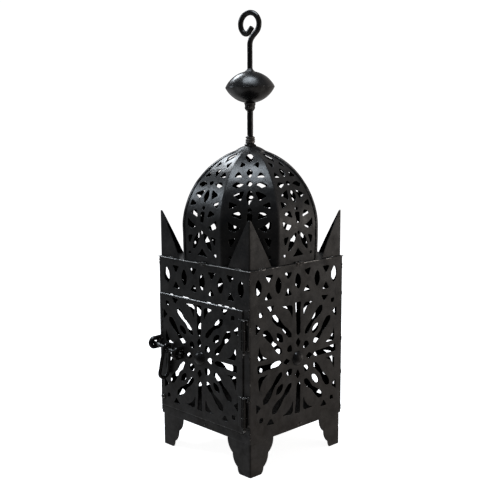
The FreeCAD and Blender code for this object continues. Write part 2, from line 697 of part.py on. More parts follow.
def hinge(name, foot_alias):
    """Two frame knuckles on a leaf, a door knuckle on its own leaf, and a pin."""
    foot = f"Sizes.{foot_alias}"
    axis = ("Sizes.hinge_x", "Sizes.hinge_y")
    bore_radius = "Sizes.pin_radius + Sizes.bore_play"
    height = "Sizes.knuckle_pitch * 3"
    length = "Sizes.knuckle_pitch - Sizes.knuckle_gap"
    face = "-Sizes.body_width / 2 - Sizes.gauge"
    # frame side: a strip on the jamb with a tab to each outer knuckle
    strip = box(f"{name}_strip", (
        "Sizes.body_width / 2 - Sizes.hinge_x - Sizes.barrel_reach", "Sizes.gauge", height,
        "Sizes.hinge_x + Sizes.barrel_reach", face, foot))
    pieces = [strip]
    for order in (0, 2):
        at = f"{foot} + Sizes.knuckle_pitch * {order}"
        pieces.append(cylinder(f"{name}_outer{order}", "Sizes.knuckle_radius", length, axis + (at,)))
        pieces.append(box(f"{name}_tab{order}", (
            "Sizes.barrel_reach", "Sizes.gauge", length, "Sizes.hinge_x", face, at)))
    bore = cylinder(f"{name}_bore", bore_radius, height, axis + (foot,))
    frame_side = cut(f"{name}_frame_leaf", fuse(f"{name}_frame_joined", pieces), bore)
    register(frame_side, f"{name}_frame_leaf")
    # door side: a plate on the door's face with a tab to the middle knuckle
    middle = f"{foot} + Sizes.knuckle_pitch"
    face = "-Sizes.body_width / 2 - Sizes.door_gap - Sizes.gauge * 2"
    plate_edge = "Sizes.door_right - Sizes.leaf_margin"
    plate = box(f"{name}_plate", (
        "Sizes.door_leaf_width", "Sizes.gauge", height,
        f"{plate_edge} - Sizes.door_leaf_width", face, foot))
    tab = box(f"{name}_door_tab", (
        f"Sizes.hinge_x - ({plate_edge})", "Sizes.gauge", length, plate_edge, face, middle))
    knuckle = cylinder(f"{name}_inner", "Sizes.knuckle_radius", length, axis + (middle,))
    door_bore = cylinder(f"{name}_door_bore", bore_radius, height, axis + (foot,))
    door_side = cut(
        f"{name}_door_leaf", fuse(f"{name}_door_joined", [plate, tab, knuckle]), door_bore)
    register(door_side, f"{name}_door_leaf")
    # pin: runs past the lower knuckle and is bent over so that it can't ride up
    top = size("knuckle_pitch") * 3 + 1.0
    bend, tail_length = 2.6, 2.2
    turn = math.radians(35)
    lower = Vector(0, 0, -1.2)
    middle_point = Vector(bend * (1 - math.cos(turn / 2)), 0, lower.z - bend * math.sin(turn / 2))
    bend_end = Vector(bend * (1 - math.cos(turn)), 0, lower.z - bend * math.sin(turn))
    tail = bend_end + Vector(math.sin(turn), 0, -math.cos(turn)) * tail_length
    start = Vector(0, 0, top)
    path = [Part.LineSegment(start, lower), Part.Arc(lower, middle_point, bend_end),
            Part.LineSegment(bend_end, tail)]
    place = Placement(Vector(size("hinge_x"), size("hinge_y"), size(foot_alias)), Rotation())
    bent_rod(f"{name}_pin", path, "Sizes.pin_radius", start, Vector(0, 0, -1), place)


# ---------------------------------------------------------------- latch

def bolt_height(across):
    """Height of the tilted bolt's axis at a place across the front."""
    drop = math.tan(math.radians(size("bolt_tilt")))
    return size("bolt_level") - (across - size("keeper_x")) * drop


def staple(label, across, legs):
    """A wire staple round the bolt, its two legs running back along +Y."""
    bend, level = size("eye_radius"), bolt_height(across)
    upper, lower = Vector(0, legs, bend), Vector(0, legs, -bend)
    path = [
        Part.LineSegment(upper, Vector(0, 0, bend)),
        Part.Arc(Vector(0, 0, bend), Vector(0, -bend, 0), Vector(0, 0, -bend)),
        Part.LineSegment(Vector(0, 0, -bend), lower),
    ]
    place = Placement(Vector(across, size("bolt_y"), level), Rotation())
    bent_rod(label, path, "Sizes.eye_wire", upper, Vector(0, -1, 0), place)


def latch():
    """Sliding bolt through a keeper on the body and a guide on the door."""
    door_face = -(HALF + size("door_gap") + size("gauge"))
    keeper_legs = 14.0
    staple("keeper_staple", size("keeper_x"), keeper_legs)
    staple("guide_staple", size("guide_x"), door_face - size("bolt_y"))
    radius, left, end = size("bolt_radius"), size("bolt_end"), size("bolt_shank")
    pull = (size("pull_x") - left) / math.cos(math.radians(size("bolt_tilt")))
    clearance = size("pull_wire") + 0.4
    collar, collar_width, head_width = 3.0, 1.5, 3.0
    profile = [(0, 0), (radius - 0.6, 0), (radius, 0.8)]
    for start in (pull - clearance - collar_width, pull + clearance):
        stop = start + collar_width
        profile += [(radius, start), (collar, start), (collar, stop), (radius, stop)]
    profile += [(radius, end), (collar, end), (collar, end + head_width / 2),
                (radius, end + head_width), (0, end + head_width)]
    along = Rotation(Vector(0, 1, 0), 90 + size("bolt_tilt"))
    turned("latch_bolt", profile, (left, size("bolt_y"), bolt_height(left)), along)
    ring_pull(radius)


def ring_pull(bolt_radius):
    """A pear-shaped wire ring hanging from the bolt, leaning on the door."""
    wire, drop = size("pull_wire"), size("pull_drop")
    top, bottom = bolt_radius + 0.4 + wire, size("pull_bottom")
    slant = math.asin((bottom - top) / drop)

    def on(radius, centre, angle):
        return Vector(0, radius * math.cos(angle), centre + radius * math.sin(angle))

    right_top, left_top = on(top, 0, slant), on(top, 0, math.pi - slant)
    right_low, left_low = on(bottom, -drop, slant), on(bottom, -drop, math.pi - slant)
    path = [
        Part.Arc(right_top, on(top, 0, math.pi / 2), left_top),
        Part.LineSegment(left_top, left_low),
        Part.Arc(left_low, on(bottom, -drop, -math.pi / 2), right_low),
        Part.LineSegment(right_low, right_top),
    ]
    tilt = Rotation(Vector(0, 1, 0), size("bolt_tilt"))
    hang = tilt.multiply(Rotation(Vector(1, 0, 0), -size("pull_lean")))
    across = size("pull_x")
    place = Placement(Vector(across, size("bolt_y"), bolt_height(across)), hang)
    start = right_top
    bent_rod("ring_pull", path, "Sizes.pull_wire", start, Vector(0, -math.sin(slant), math.cos(slant)), place)


side_panels()
front_frame()
floor_and_deck()
feet()
horns()
dome_gores()
finial()
bosses()
door()
hinge("lower_hinge", "lower_hinge")
hinge("upper_hinge", "upper_hinge")
latch()
doc.recompute()

for obj in doc.Objects:
    if "Invalid" in obj.State or "Error" in obj.State:
        raise RuntimeError(f"{obj.Label} failed: {obj.State}")
for node in nodes:
    if node.Shape.isNull() or not node.Shape.isValid():
        raise RuntimeError(f"{node.Label} has no valid shape")
    node.Shape.exportStep(f"parts/{node.Label}.step")
    bounds = node.Shape.BoundBox
    print(f"{node.Label:22s} solids {len(node.Shape.Solids)} volume {node.Shape.Volume:9.1f} "
          f"x {bounds.XMin:7.2f} {bounds.XMax:7.2f} y {bounds.YMin:7.2f} {bounds.YMax:7.2f} "
          f"z {bounds.ZMin:7.2f} {bounds.ZMax:7.2f}")
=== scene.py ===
import random
from math import acos, asin, atan, atan2, copysign, cos, degrees, pi, radians, sin, sqrt, tan

import bmesh
import bpy
from mathutils import Matrix, Vector, geometry, kdtree, noise


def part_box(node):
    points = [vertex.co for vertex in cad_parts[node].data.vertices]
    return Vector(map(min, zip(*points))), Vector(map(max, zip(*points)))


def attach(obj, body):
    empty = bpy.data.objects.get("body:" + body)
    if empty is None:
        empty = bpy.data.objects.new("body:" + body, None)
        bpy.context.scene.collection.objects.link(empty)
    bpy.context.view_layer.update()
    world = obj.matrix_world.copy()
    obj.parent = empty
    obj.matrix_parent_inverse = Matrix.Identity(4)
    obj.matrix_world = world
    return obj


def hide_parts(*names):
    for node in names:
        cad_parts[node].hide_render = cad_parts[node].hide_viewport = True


# Looks of a Moroccan pierced-sheet lantern, built round its CAD frame.
# Sheets are drawn flat in millimetres, then stood, folded or bent into place in metres.

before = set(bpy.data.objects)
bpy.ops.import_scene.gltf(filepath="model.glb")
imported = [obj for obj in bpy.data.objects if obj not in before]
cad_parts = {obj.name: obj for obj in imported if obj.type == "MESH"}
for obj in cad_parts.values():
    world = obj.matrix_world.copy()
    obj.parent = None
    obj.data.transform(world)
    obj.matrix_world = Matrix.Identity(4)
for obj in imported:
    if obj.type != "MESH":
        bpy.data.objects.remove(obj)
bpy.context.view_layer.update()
MM = 0.001


def bumpy(*spot):
    """Smooth noise at a place, about -1 to 1."""
    return noise.noise(Vector(spot))


def linked(name, data):
    """A new object in the scene."""
    made = bpy.data.objects.new(name, data)
    bpy.context.scene.collection.objects.link(made)
    return made


def box_mm(node):
    """Lowest and highest corner of a CAD node, in millimetres."""
    low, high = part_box(node)
    return low / MM, high / MM


def turned(degrees_round, axis="Z"):
    """Rotation by an angle in degrees."""
    return Matrix.Rotation(radians(degrees_round), 3, axis)


def middle_mm(node):
    """Middle of a CAD node's box, in millimetres."""
    low, high = box_mm(node)
    return (low + high) / 2


HALF = box_mm("rear_panel")[1].x
GAUGE = box_mm("floor_plate")[1].z - box_mm("floor_plate")[0].z
INNER = HALF - GAUGE
DECK_TOP = box_mm("roof_deck")[1].z
PANEL_BOTTOM = box_mm("right_panel")[0].z
PANEL_TOP = box_mm("right_panel")[1].z
DOOR_LOW, DOOR_HIGH = box_mm("door_panel")
BELLY = box_mm("gore_right")[1].x

# ---- outlines

# Holes of the rosette, as (x, y) or (x, y, bulge) in millimetres; a bulge is twice
# the rise of the arc to the next point over its chord. X runs out from the centre
# along a petal slot, or along a diagonal for the second group.
KITE = [(12.8, 0), (18.8, 3.8), (24, 0), (18.8, -3.8)]
SLOT = [(26.6, 0), (30, 3.0), (50, 3.2), (63.5, 4.2), (63.5, -4.2), (50, -3.2), (30, -3.0)]
CRESCENT = [(47.5, 9.5), (60, 9), (62.5, 12), (61.5, 25, -0.3)]
EDGE_TRIANGLE = [(65.6, 38), (58.6, 43.8), (65.6, 49.6)]
DROP = [(14, 0, 0.2), (20.5, -4.2, 0.3), (23, 0, 0.3), (20.5, 4.2, 0.2)]
CLUB = [
    (26.5, 11), (30, 7.8), (37, 8.2), (45, 9), (55, 6), (63, 5.6), (67.2, 9.6), (63.5, 13.6),
    (55, 14), (46, 12.8), (37, 14.2), (30, 13.9),
]
LEAF = [(34, 0, 0.48), (49, 0, 0.48)]
CORNER_DIAMOND = [(78.5, 0), (82, 3.3), (86, 0), (82, -3.3)]
ALONG = [(KITE, False), (SLOT, False), (CRESCENT, True), (EDGE_TRIANGLE, True)]
DIAGONAL = [(DROP, False), (LEAF, False), (CLUB, True), (CORNER_DIAMOND, False)]

# The upper row: tall lenses, with a triangle above and below between two of them.
LENS = [(-9.2, 0, 0.46), (9.2, 0, 0.46)]
TIP_TRIANGLE = [(-5.2, 11.9), (5.2, 11.9), (0, 4.6)]
FOOT_TRIANGLE = [(-5, -13.5), (5, -13.5), (0, -6)]
FRIEZE_PITCH = 30.5
FRIEZE_BELOW_DECK = 20.4

# Holes of a gore, as (across, up the sheet) from the middle of its foot.
GORE_MIDDLE_HOLES = [
    [(-8, 8.5), (8, 8.5, -0.15), (0, 16.5, -0.15)],
    [(0, 31.8), (1.4, 34), (0, 36), (-1.4, 34)],
    [(-2, 45.5), (2, 45.5), (2.8, 56), (-2.8, 56)],
    [(0, 58.9), (2.2, 60.5), (0, 62.7), (-2.2, 60.5)],
    [(0, 66.5), (3.4, 74, 0.15), (0, 82, 0.15), (-3.4, 74)],
    [(0, 87.6), (3, 90.4), (0, 93.4), (-3, 90.4)],
    [(0, 98.5), (3, 104.8), (0, 110.5), (-3, 104.8)],
    [(0, 121), (4.4, 130.5), (0, 140.8), (-4.4, 130.5)],
]
GORE_SIDE_HOLES = [
    [(4.2, 33.5, 0.3), (15, 15, 0.3)],
    [(15.5, 30), (22.5, 29), (20.8, 21)],
    [(10, 41.5), (15.5, 38), (22.5, 40.5), (23, 48.5, -0.15)],
    [(11, 58), (8.8, 51), (19, 54.8, 0.2)],
    [(14, 65.6), (21.6, 62.4), (21.4, 69)],
    [(6.2, 81), (10, 71, -0.1), (17.8, 76, 0.1)],
    [(6.6, 89.5), (14, 85.4), (18.6, 88), (14, 92)],
    [(8, 99), (16, 99), (12, 105.5)],
    [(5.2, 117.3), (9.4, 112.6), (9.2, 121.2)],
    [(21, 8.7, 1), (21, 11.3, 1)],
]


def arc_points(start, end, bulge, spacing):
    """Points from start up to, but not including, end along a straight or arched edge."""
    chord = end - start
    if chord.length < 1e-9:
        return []
    if abs(bulge) < 1e-9:
        return run(start, end, spacing)
    rise = bulge * chord.length / 2
    radius = (chord.length ** 2 / 4 + rise ** 2) / (2 * rise)
    side = Vector((chord.y, -chord.x)).normalized()
    centre = (start + end) / 2 + side * (rise - radius)
    sweep = 4 * atan(bulge)
    count = max(2, round(abs(sweep * radius) / spacing))
    spoke = start - centre
    return [centre + Matrix.Rotation(sweep * k / count, 2) @ spoke for k in range(count)]


def trace(points, spacing=0.8):
    """A closed outline as evenly spaced points."""
    dense = []
    for point, following in zip(points, points[1:] + points[:1]):
        bulge = point[2] if len(point) > 2 else 0.0
        dense += arc_points(Vector(point[:2]), Vector(following[:2]), bulge, spacing)
    return dense


def mirrored(points, flip_x=False):
    """The outline mirrored in X (or in Y), its arcs kept on the same side of the metal."""
    sign = (-1, 1) if flip_x else (1, -1)
    return [(p[0] * sign[0], p[1] * sign[1]) + tuple(-b for b in p[2:]) for p in points]


def moved(loop, turn=0.0, shift=(0.0, 0.0)):
    """The loop turned by degrees, then shifted."""
    turning = Matrix.Rotation(radians(turn), 2)
    return [turning @ point + Vector(shift) for point in loop]


def area(loop):
    """Signed area of a loop; a hole's is below zero."""
    return sum(a.x * b.y - a.y * b.x for a, b in zip(loop, loop[1:] + loop[:1])) / 2


def softened(loop, passes):
    """Round a loop's corners a little, as a chisel and a file leave them."""
    for _ in range(passes):
        before, after = loop[-1:] + loop[:-1], loop[1:] + loop[:1]
        loop = [(a + b * 2 + c) / 4 for a, b, c in zip(before, loop, after)]
    return loop


def swollen(loop, distance):
    """The loop moved outward by a distance."""
    return offset(loop, -distance if area(loop) > 0 else distance)


def hand_cut(loop, luck, wander=0.35):
    """Shift, turn and roughen one hole the way cutting by hand does."""
    centre = sum(loop, Vector((0, 0))) / len(loop)
    reach = max((point - centre).length for point in loop)
    turning = Matrix.Rotation(luck.gauss(0, min(0.05, 0.5 / reach)), 2)
    rounded = softened(loop, 3)
    swell = sqrt(area(loop) / area(rounded)) * (1 + luck.uniform(-0.02, 0.06))
    shift = Vector((luck.uniform(-wander, wander), luck.uniform(-wander, wander)))
    seed = luck.uniform(0, 100)
    cut = []
    for point in rounded:
        rough = noise.noise_vector(Vector((point.x * 0.28, point.y * 0.28, seed)))
        fine = noise.noise_vector(Vector((point.x * 0.9, point.y * 0.9, seed + 9)))
        ragged = rough.xy * 0.42 + fine.xy * 0.14
        cut.append(centre + turning @ (point - centre) * swell + shift + ragged)
    return cut


def rosette(centre, luck, scale=1.0):
    """The holes of one rosette: four quarters round its centre."""
    loops = []
    for quarter in range(4):
        for group, lean in ((ALONG, 0), (DIAGONAL, 45)):
            for points, paired in group:
                for outline in ([points, mirrored(points)] if paired else [points]):
                    sized = [(q[0] * scale, q[1] * scale) + tuple(q[2:]) for q in outline]
                    loop = moved(trace(sized), quarter * 90 + lean, centre)
                    loops.append(hand_cut(loop, luck))
    return loops


def frieze(luck):
    """The upper row of holes across one face."""
    level = DECK_TOP - FRIEZE_BELOW_DECK
    loops = []
    for bay in range(-2, 3):
        lens = moved(trace(LENS), 90 + luck.uniform(-9, 9), (bay * FRIEZE_PITCH, level))
        loops.append(hand_cut(swollen(lens, 0.2), luck, 0.8))
    for bay in range(-2, 2):
        for points in (TIP_TRIANGLE, FOOT_TRIANGLE):
            triangle = moved(trace(points), 0, ((bay + 0.5) * FRIEZE_PITCH, level))
            loops.append(hand_cut(swollen(triangle, 0.3), luck, 0.8))
    return loops


def rectangle(left, right, bottom, top, spacing=2.5):
    """A rectangle as evenly spaced points."""
    return trace([(left, bottom), (right, bottom), (right, top), (left, top)], spacing)


# ---- materials

def shader_tree(name):
    """A new material: its node tree and its Principled shader."""
    material = bpy.data.materials.new(name)
    material.use_nodes = True
    return material, material.node_tree, material.node_tree.nodes["Principled BSDF"]


def add_node(tree, kind, feeds, **settings):
    """One node, with its inputs fed."""
    made = tree.nodes.new(kind)
    for key, value in settings.items():
        setattr(made, key, value)
    feed(tree, made, feeds)
    return made


def feed(tree, node, feeds):
    """Feed a node's inputs, by name or by number, with values or with output sockets."""
    for key, value in feeds.items():
        if isinstance(value, bpy.types.NodeSocket):
            tree.links.new(value, node.inputs[key])
        else:
            node.inputs[key].default_value = value


def noise_at(tree, place, scale, detail=4.0, rough=0.55, stretch=None):
    """A noise texture in object space, in features per metre."""
    if stretch is not None:
        place = add_node(tree, "ShaderNodeMapping", {"Vector": place, "Scale": stretch}).outputs[0]
    feeds = {"Vector": place, "Scale": scale, "Detail": detail, "Roughness": rough}
    return add_node(tree, "ShaderNodeTexNoise", feeds).outputs["Fac"]


def ranged(tree, value, low, high, out_low, out_high):
    """Map a value from one range to another, clamped."""
    feeds = dict(enumerate((value, low, high, out_low, out_high)))
    return add_node(tree, "ShaderNodeMapRange", feeds, clamp=True).outputs[0]


def blended(tree, factor, first, second):
    """Mix two colours."""
    feeds = {0: factor, 6: first, 7: second}
    return add_node(tree, "ShaderNodeMix", feeds, data_type="RGBA").outputs[2]


def combined(tree, operation, first, second, clamp=True):
    """Add or multiply two values."""
    feeds = {0: first, 1: second}
    return add_node(tree, "ShaderNodeMath", feeds, operation=operation, use_clamp=clamp).outputs[0]


def bump(tree, strength, height, distance, under=None):
    """Relief over the relief under it."""
    feeds = {"Strength": strength, "Distance": distance, "Height": height}
    if under is not None:
        feeds["Normal"] = under
    return add_node(tree, "ShaderNodeBump", feeds).outputs[0]


def rgba(colour, scale=1.0):
    """A colour with its alpha."""
    return tuple(part * scale for part in colour) + (1.0,)


# Soot black, also used as painted shade: hole walls, burrs, sheet backs and the floor plate are drawn
# dark as if they lie in shade inside.
SOOT_AND_SHADE_BLACK = (0.0012, 0.0012, 0.0013)
# Warm tone of a painted reflection, laid on the lower parts.
PAINTED_WARM_REFLECTION = (0.020, 0.0155, 0.0120)


def iron(name, cool, warm, bare_and_highlight, rough, mottle, grain, dent, wear_and_highlight_low, gloss=0.5, relief=1.0):
    """Blackened iron: mottled paint with flecks, a painted warm reflection low down, scratches, dents,
    soot with painted shade, and bare worn edges that are partly painted highlights.
    """
    material, tree, shader = shader_tree(name)
    place = add_node(tree, "ShaderNodeTexCoord", {}).outputs["Object"]
    broad = noise_at(tree, place, mottle, 5.0, 0.6)
    fine = noise_at(tree, place, grain, 6.0, 0.65)
    scratch = noise_at(tree, place, 260.0, 3.0, 0.5, (1.0, 1.0, 9.0))
    flecks = noise_at(tree, place, 330.0, 4.0, 0.7)
    paint = blended(tree, ranged(tree, broad, 0.38, 0.66, 0.0, 1.0), rgba(cool), rgba(warm))
    paint = blended(tree, ranged(tree, fine, 0.56, 0.78, 0.0, 0.5), paint, rgba(warm, 2.4))
    paint = blended(tree, ranged(tree, flecks, 0.56, 0.74, 0.0, 0.7 * relief), paint, rgba(warm, 3.0))
    level = add_node(tree, "ShaderNodeSeparateXYZ", {"Vector": place}).outputs["Z"]
    # Painted warm reflection: lighter and warmer towards the bottom, in patches.
    painted_reflection_share = combined(tree, "MULTIPLY", ranged(tree, level, 0.015, 0.16, 0.8, 0.0),
                       ranged(tree, broad, 0.35, 0.62, 0.4, 1.0))
    paint = blended(tree, painted_reflection_share, paint, rgba(PAINTED_WARM_REFLECTION))
    wear_highlight_shade = add_node(tree, "ShaderNodeAttribute", {}, attribute_name="wear_highlight_and_shade").outputs["Fac"]
    # Wear values below zero paint soot black and take the sheen away: partly real soot, partly painted
    # shade inside and in the holes.
    soot_and_shade = ranged(tree, wear_highlight_shade, -0.7, -0.1, 1.0, 0.0)
    paint = blended(tree, soot_and_shade, paint, rgba(SOOT_AND_SHADE_BLACK))
    # Bare metal on edges and rims: real wear, partly a painted highlight.
    chipped_and_highlit = combined(tree, "MULTIPLY", wear_highlight_shade, ranged(tree, fine, 0.30, 0.62, 0.35, 1.35))
    wear_and_highlight_mask = ranged(tree, chipped_and_highlit, wear_and_highlight_low, wear_and_highlight_low + 0.22, 0.0, 1.0)
    polish = noise_at(tree, place, 62.0, 6.0, 0.68)
    shine = ranged(tree, polish, 0.36, 0.64, gloss * 0.62, gloss * 1.30)
    clear_of_soot_and_shade = ranged(tree, soot_and_shade, 0.0, 1.0, 1.0, 0.0)
    sheen = combined(tree, "ADD", ranged(tree, broad, 0.3, 0.7, *rough),
                     ranged(tree, scratch, 0.45, 0.75, 0.0, 0.10))
    dents = bump(tree, 0.5 * relief, noise_at(tree, place, 120.0, 2.0, 0.5), dent)
    skin = bump(tree, 0.35 * relief, fine, 0.00012, dents)
    feed(tree, shader, {
        "Base Color": blended(tree, wear_and_highlight_mask, paint, rgba(bare_and_highlight)),
        "Specular IOR Level": combined(tree, "MULTIPLY", shine, clear_of_soot_and_shade),
        "Metallic": ranged(tree, wear_and_highlight_mask, 0.0, 1.0, 0.0, 0.9),
        "Roughness": sheen,
        "Normal": bump(tree, 0.15, scratch, 0.00006, skin),
    })
    return material


SHEET_IRON = iron(
    "blackened_sheet_iron", cool=(0.0085, 0.0088, 0.0098), warm=(0.0200, 0.0178, 0.0160),
    bare_and_highlight=(0.46, 0.45, 0.44), rough=(0.34, 0.46), mottle=42.0, grain=900.0, dent=0.0005, wear_and_highlight_low=0.58)
ROD_IRON = iron(
    "blackened_rod_iron", cool=(0.0050, 0.0051, 0.0055), warm=(0.0080, 0.0075, 0.0072),
    bare_and_highlight=(0.50, 0.49, 0.48), rough=(0.15, 0.28), mottle=90.0, grain=700.0, dent=0.0004, wear_and_highlight_low=0.62,
    gloss=0.46, relief=0.5)
BOWL_IRON = iron(
    "blackened_bowl_iron", cool=(0.0090, 0.0092, 0.0100), warm=(0.0120, 0.0115, 0.0115),
    bare_and_highlight=(0.50, 0.49, 0.48), rough=(0.18, 0.30), mottle=60.0, grain=800.0, dent=0.0003, wear_and_highlight_low=0.62,
    relief=0.35)
GORE_IRON = iron(
    "blackened_gore_iron", cool=(0.0100, 0.0104, 0.0116), warm=(0.0150, 0.0140, 0.0135),
    bare_and_highlight=(0.50, 0.50, 0.50), rough=(0.26, 0.38), mottle=50.0, grain=900.0, dent=0.0006, wear_and_highlight_low=0.58)
WELD_IRON = iron(
    "weld_iron", cool=(0.0120, 0.0115, 0.0115), warm=(0.0260, 0.0195, 0.0155),
    bare_and_highlight=(0.42, 0.40, 0.38), rough=(0.30, 0.52), mottle=160.0, grain=1200.0, dent=0.0006,
    wear_and_highlight_low=0.60)


# ---- mesh makers

class Shell:
    """The points, faces and wear of one piece while it is drawn; the wear values also carry painted
    highlights and, below zero, painted shade.
    """

    def __init__(self):
        self.verts, self.faces, self.wear_highlight_and_shade = [], [], []

    def add(self, spot, wear_highlight_shade=0.0):
        self.verts.append(tuple(spot))
        self.wear_highlight_and_shade.append(wear_highlight_shade)
        return len(self.verts) - 1

    def bridge(self, near, far):
        """Faces between two rings, either of which may be a single point."""
        count = max(len(near), len(far))
        for k in range(count if count > 1 else 0):
            after = (k + 1) % count
            corners = (near[k % len(near)], near[after % len(near)],
                       far[after % len(far)], far[k % len(far)])
            self.faces.append(tuple(dict.fromkeys(corners)))


def piece(name, shell, material, body, in_cad=True, recalculate=True):
    """Make the mesh object, shade it, tie it to its body, and hide the CAD node it stands in for."""
    mesh = bpy.data.meshes.new(name)
    mesh.from_pydata(shell.verts, [], shell.faces)
    if recalculate:
        drawn = bmesh.new()
        drawn.from_mesh(mesh)
        bmesh.ops.recalc_face_normals(drawn, faces=drawn.faces)
        drawn.to_mesh(mesh)
        drawn.free()
    mesh.polygons.foreach_set("use_smooth", [True] * len(mesh.polygons))
    mesh.attributes.new("wear_highlight_and_shade", "FLOAT", "POINT").data.foreach_set("value", shell.wear_highlight_and_shade)
    mesh.materials.append(material)
    made = linked(name, mesh)
    weighting = made.modifiers.new("faces_first", "WEIGHTED_NORMAL")
    weighting.weight = 60
    weighting.keep_sharp = True
    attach(made, body)
    if in_cad:
        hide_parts(name)


def offset(loop, distance):
    """The loop moved to its left, into the metal, with mitred corners."""
    if distance == 0:
        return list(loop)
    result = []
    for before, here, after in zip(loop[-1:] + loop[:-1], loop, loop[1:] + loop[:1]):
        a, b = (here - before).normalized(), (after - here).normalized()
        normal = Vector((-a.y - b.y, a.x + b.x))
        stretch = max(0.6, normal.length / 2)
        result.append(here + normal.normalized() * (distance / stretch))
    return result


# Section of a cut edge, as (into the metal, below the face, how worn): a rolled front corner bared as
# wear and painted highlight, the cut wall, and a burr that stands off the back, the wall and burr painted
# black as soot and shade.
FACE_RING = 0.6
# The wear value for soot black with painted shade.
SOOT_AND_SHADE = -1.0


def hole_section(gauge):
    """Section of a hole's cut edge, its wall and burr painted black as soot and shade."""
    return [(0.25, 0.05, 0.25), (0.06, 0.20, 0.9), (0.0, 0.45, SOOT_AND_SHADE), (0.02, gauge, SOOT_AND_SHADE),
            (0.15, gauge + 0.30, SOOT_AND_SHADE), (0.36, gauge + 0.12, SOOT_AND_SHADE)]


def edge_section(gauge, roll):
    """Section of a sheet's outer edge, its front corner rolled and bared, partly as a painted highlight.
    """
    return [(roll, 0.02, 0.5), (roll * 0.4, roll * 0.28, 0.95), (0.0, roll * 0.7, 1.0),
            (0.0, gauge - 0.20, 1.0), (0.04, gauge - 0.10, 0.9), (0.20, gauge - 0.02, 0.4)]


def patches(point, seed):
    """How far the paint has gone from an edge here, 0 to 1; the bare metal is partly a painted highlight.
    """
    broad = bumpy(point.x * 0.07, point.y * 0.07, seed)
    small = bumpy(point.x * 0.35, point.y * 0.35, seed + 3)
    return min(1.0, max(0.0, 0.5 + 1.1 * broad + 0.9 * small))


# The grid inside a sheet: how far off its edges, and its row height over its spacing.
KEEP_OFF = 1.3
ROW_SHARE = 0.87


def inner_points(loops, spacing):
    """A staggered grid over the sheet, clear of its edges."""
    rim = [point for loop in loops for point in loop]
    tree = kdtree.KDTree(len(rim))
    for index, point in enumerate(rim):
        tree.insert((*point, 0), index)
    tree.balance()
    xs, ys = [p.x for p in loops[0]], [p.y for p in loops[0]]
    step = spacing * ROW_SHARE
    grid = []
    for row in range(int((max(ys) - min(ys)) / step) + 1):
        for column in range(int((max(xs) - min(xs)) / spacing) + 1):
            spot = Vector((min(xs) + (column + 0.5 * (row % 2)) * spacing, min(ys) + row * step))
            if tree.find((*spot, 0))[2] > KEEP_OFF:
                grid.append(spot)
    return grid


def sheet(name, edge, holes, place, material=SHEET_IRON, gauge=GAUGE, body="root", spacing=4.0,
          extra=(), edge_wear_and_highlight=1.0, hole_wear_and_highlight=0.62, face_soot_and_shade=0.0, back_soot_and_shade=-0.66, roll=0.3,
          ring=FACE_RING, wear_and_highlight_scale=lambda point: 1.0):
    """A pierced sheet: place(x, y, depth) puts a point of the flat sheet in the lantern."""
    edge = edge if area(edge) > 0 else edge[::-1]
    loops = [edge] + [hole if area(hole) < 0 else hole[::-1] for hole in holes]
    rims = [offset(loop, ring if order else max(ring, roll * 1.3)) for order, loop in enumerate(loops)]
    flat, outlines = [], []
    for order, rim in enumerate(rims):
        ids = list(range(len(flat), len(flat) + len(rim)))
        outlines.append(ids if order == 0 else ids[::-1])
        flat += rim
    flat += inner_points(rims, spacing) + list(extra)
    filled = geometry.delaunay_2d_cdt(flat, [], outlines, 0, 1e-4, True)
    points, _, triangles, origins, _, owners = filled
    where = {old: new for new, olds in enumerate(origins) for old in olds}
    kept = [t for t, owner in zip(triangles, owners) if list(owner) == [0]]
    used = sorted({index for triangle in kept for index in triangle})
    shell = Shell()
    front = {i: shell.add(place(*points[i], 0.0), face_soot_and_shade) for i in used}
    back = {i: shell.add(place(*points[i], gauge), back_soot_and_shade) for i in used}
    shell.faces += [tuple(front[i] for i in t) for t in kept]
    shell.faces += [tuple(back[i] for i in reversed(t)) for t in kept]
    first = 0
    for order, loop in enumerate(loops):
        rim_ids = [where.get(first + k) for k in range(len(loop))]
        first += len(loop)
        rings = [[front.get(i) for i in rim_ids]]
        for inset, depth, wear_highlight_shade in hole_section(gauge) if order else edge_section(gauge, roll):
            rings.append([])
            for point in offset(loop, inset):
                # A scale above 1 bares a continuous line along the edge: a painted highlight.
                lit = wear_and_highlight_scale(point)
                bared = patches(point, order * 1.3 + len(name)) * lit + max(0.0, lit - 1) * 0.55
                amount = (hole_wear_and_highlight if order else edge_wear_and_highlight) * min(1.0, bared)
                if depth > gauge:
                    ragged = bumpy(point.x * 0.8, point.y * 0.8, 3.7 * order)
                    sink = gauge + (depth - gauge) * (1 + 1.3 * ragged)
                else:
                    sink = depth
                rings[-1].append(shell.add(place(*point, sink), wear_highlight_shade if wear_highlight_shade < 0 else wear_highlight_shade * amount))
        rings.append([back.get(i) for i in rim_ids])
        for upper, lower in zip(rings, rings[1:]):
            for k in range(len(loop)):
                after = (k + 1) % len(loop)
                quad = (upper[k], lower[k], lower[after], upper[after])
                if None not in quad and len(set(quad)) == 4:
                    shell.faces.append(quad)
    piece(name, shell, material, body, recalculate=False)


def ripple(x, y, seed, height=0.35, wave=38.0):
    """Gentle unevenness of hand-flattened sheet, in millimetres."""
    small = wave / 2.7
    return height * (bumpy(x / wave, y / wave, seed) + 0.4 * bumpy(x / small, y / small, seed + 5))


# Sheets lie flat along their edges and get uneven this far in, in millimetres.
STILL_EDGE = 12.0


def flat_wall(quarter, seed, reach, face=HALF, height=0.35):
    """Stand a flat sheet up: 0 front, 1 right, 2 rear, 3 left; face is its outer face."""
    turning = turned(90 * quarter)
    left, right, bottom, top = reach

    def place(x, y, depth):
        still = min(1.0, min(x - left, right - x, y - bottom, top - y) / STILL_EDGE)
        bow = ripple(x, y, seed, height) * max(0.0, still)
        return turning @ Vector((x, -(face - depth - bow), y)) * MM
    return place


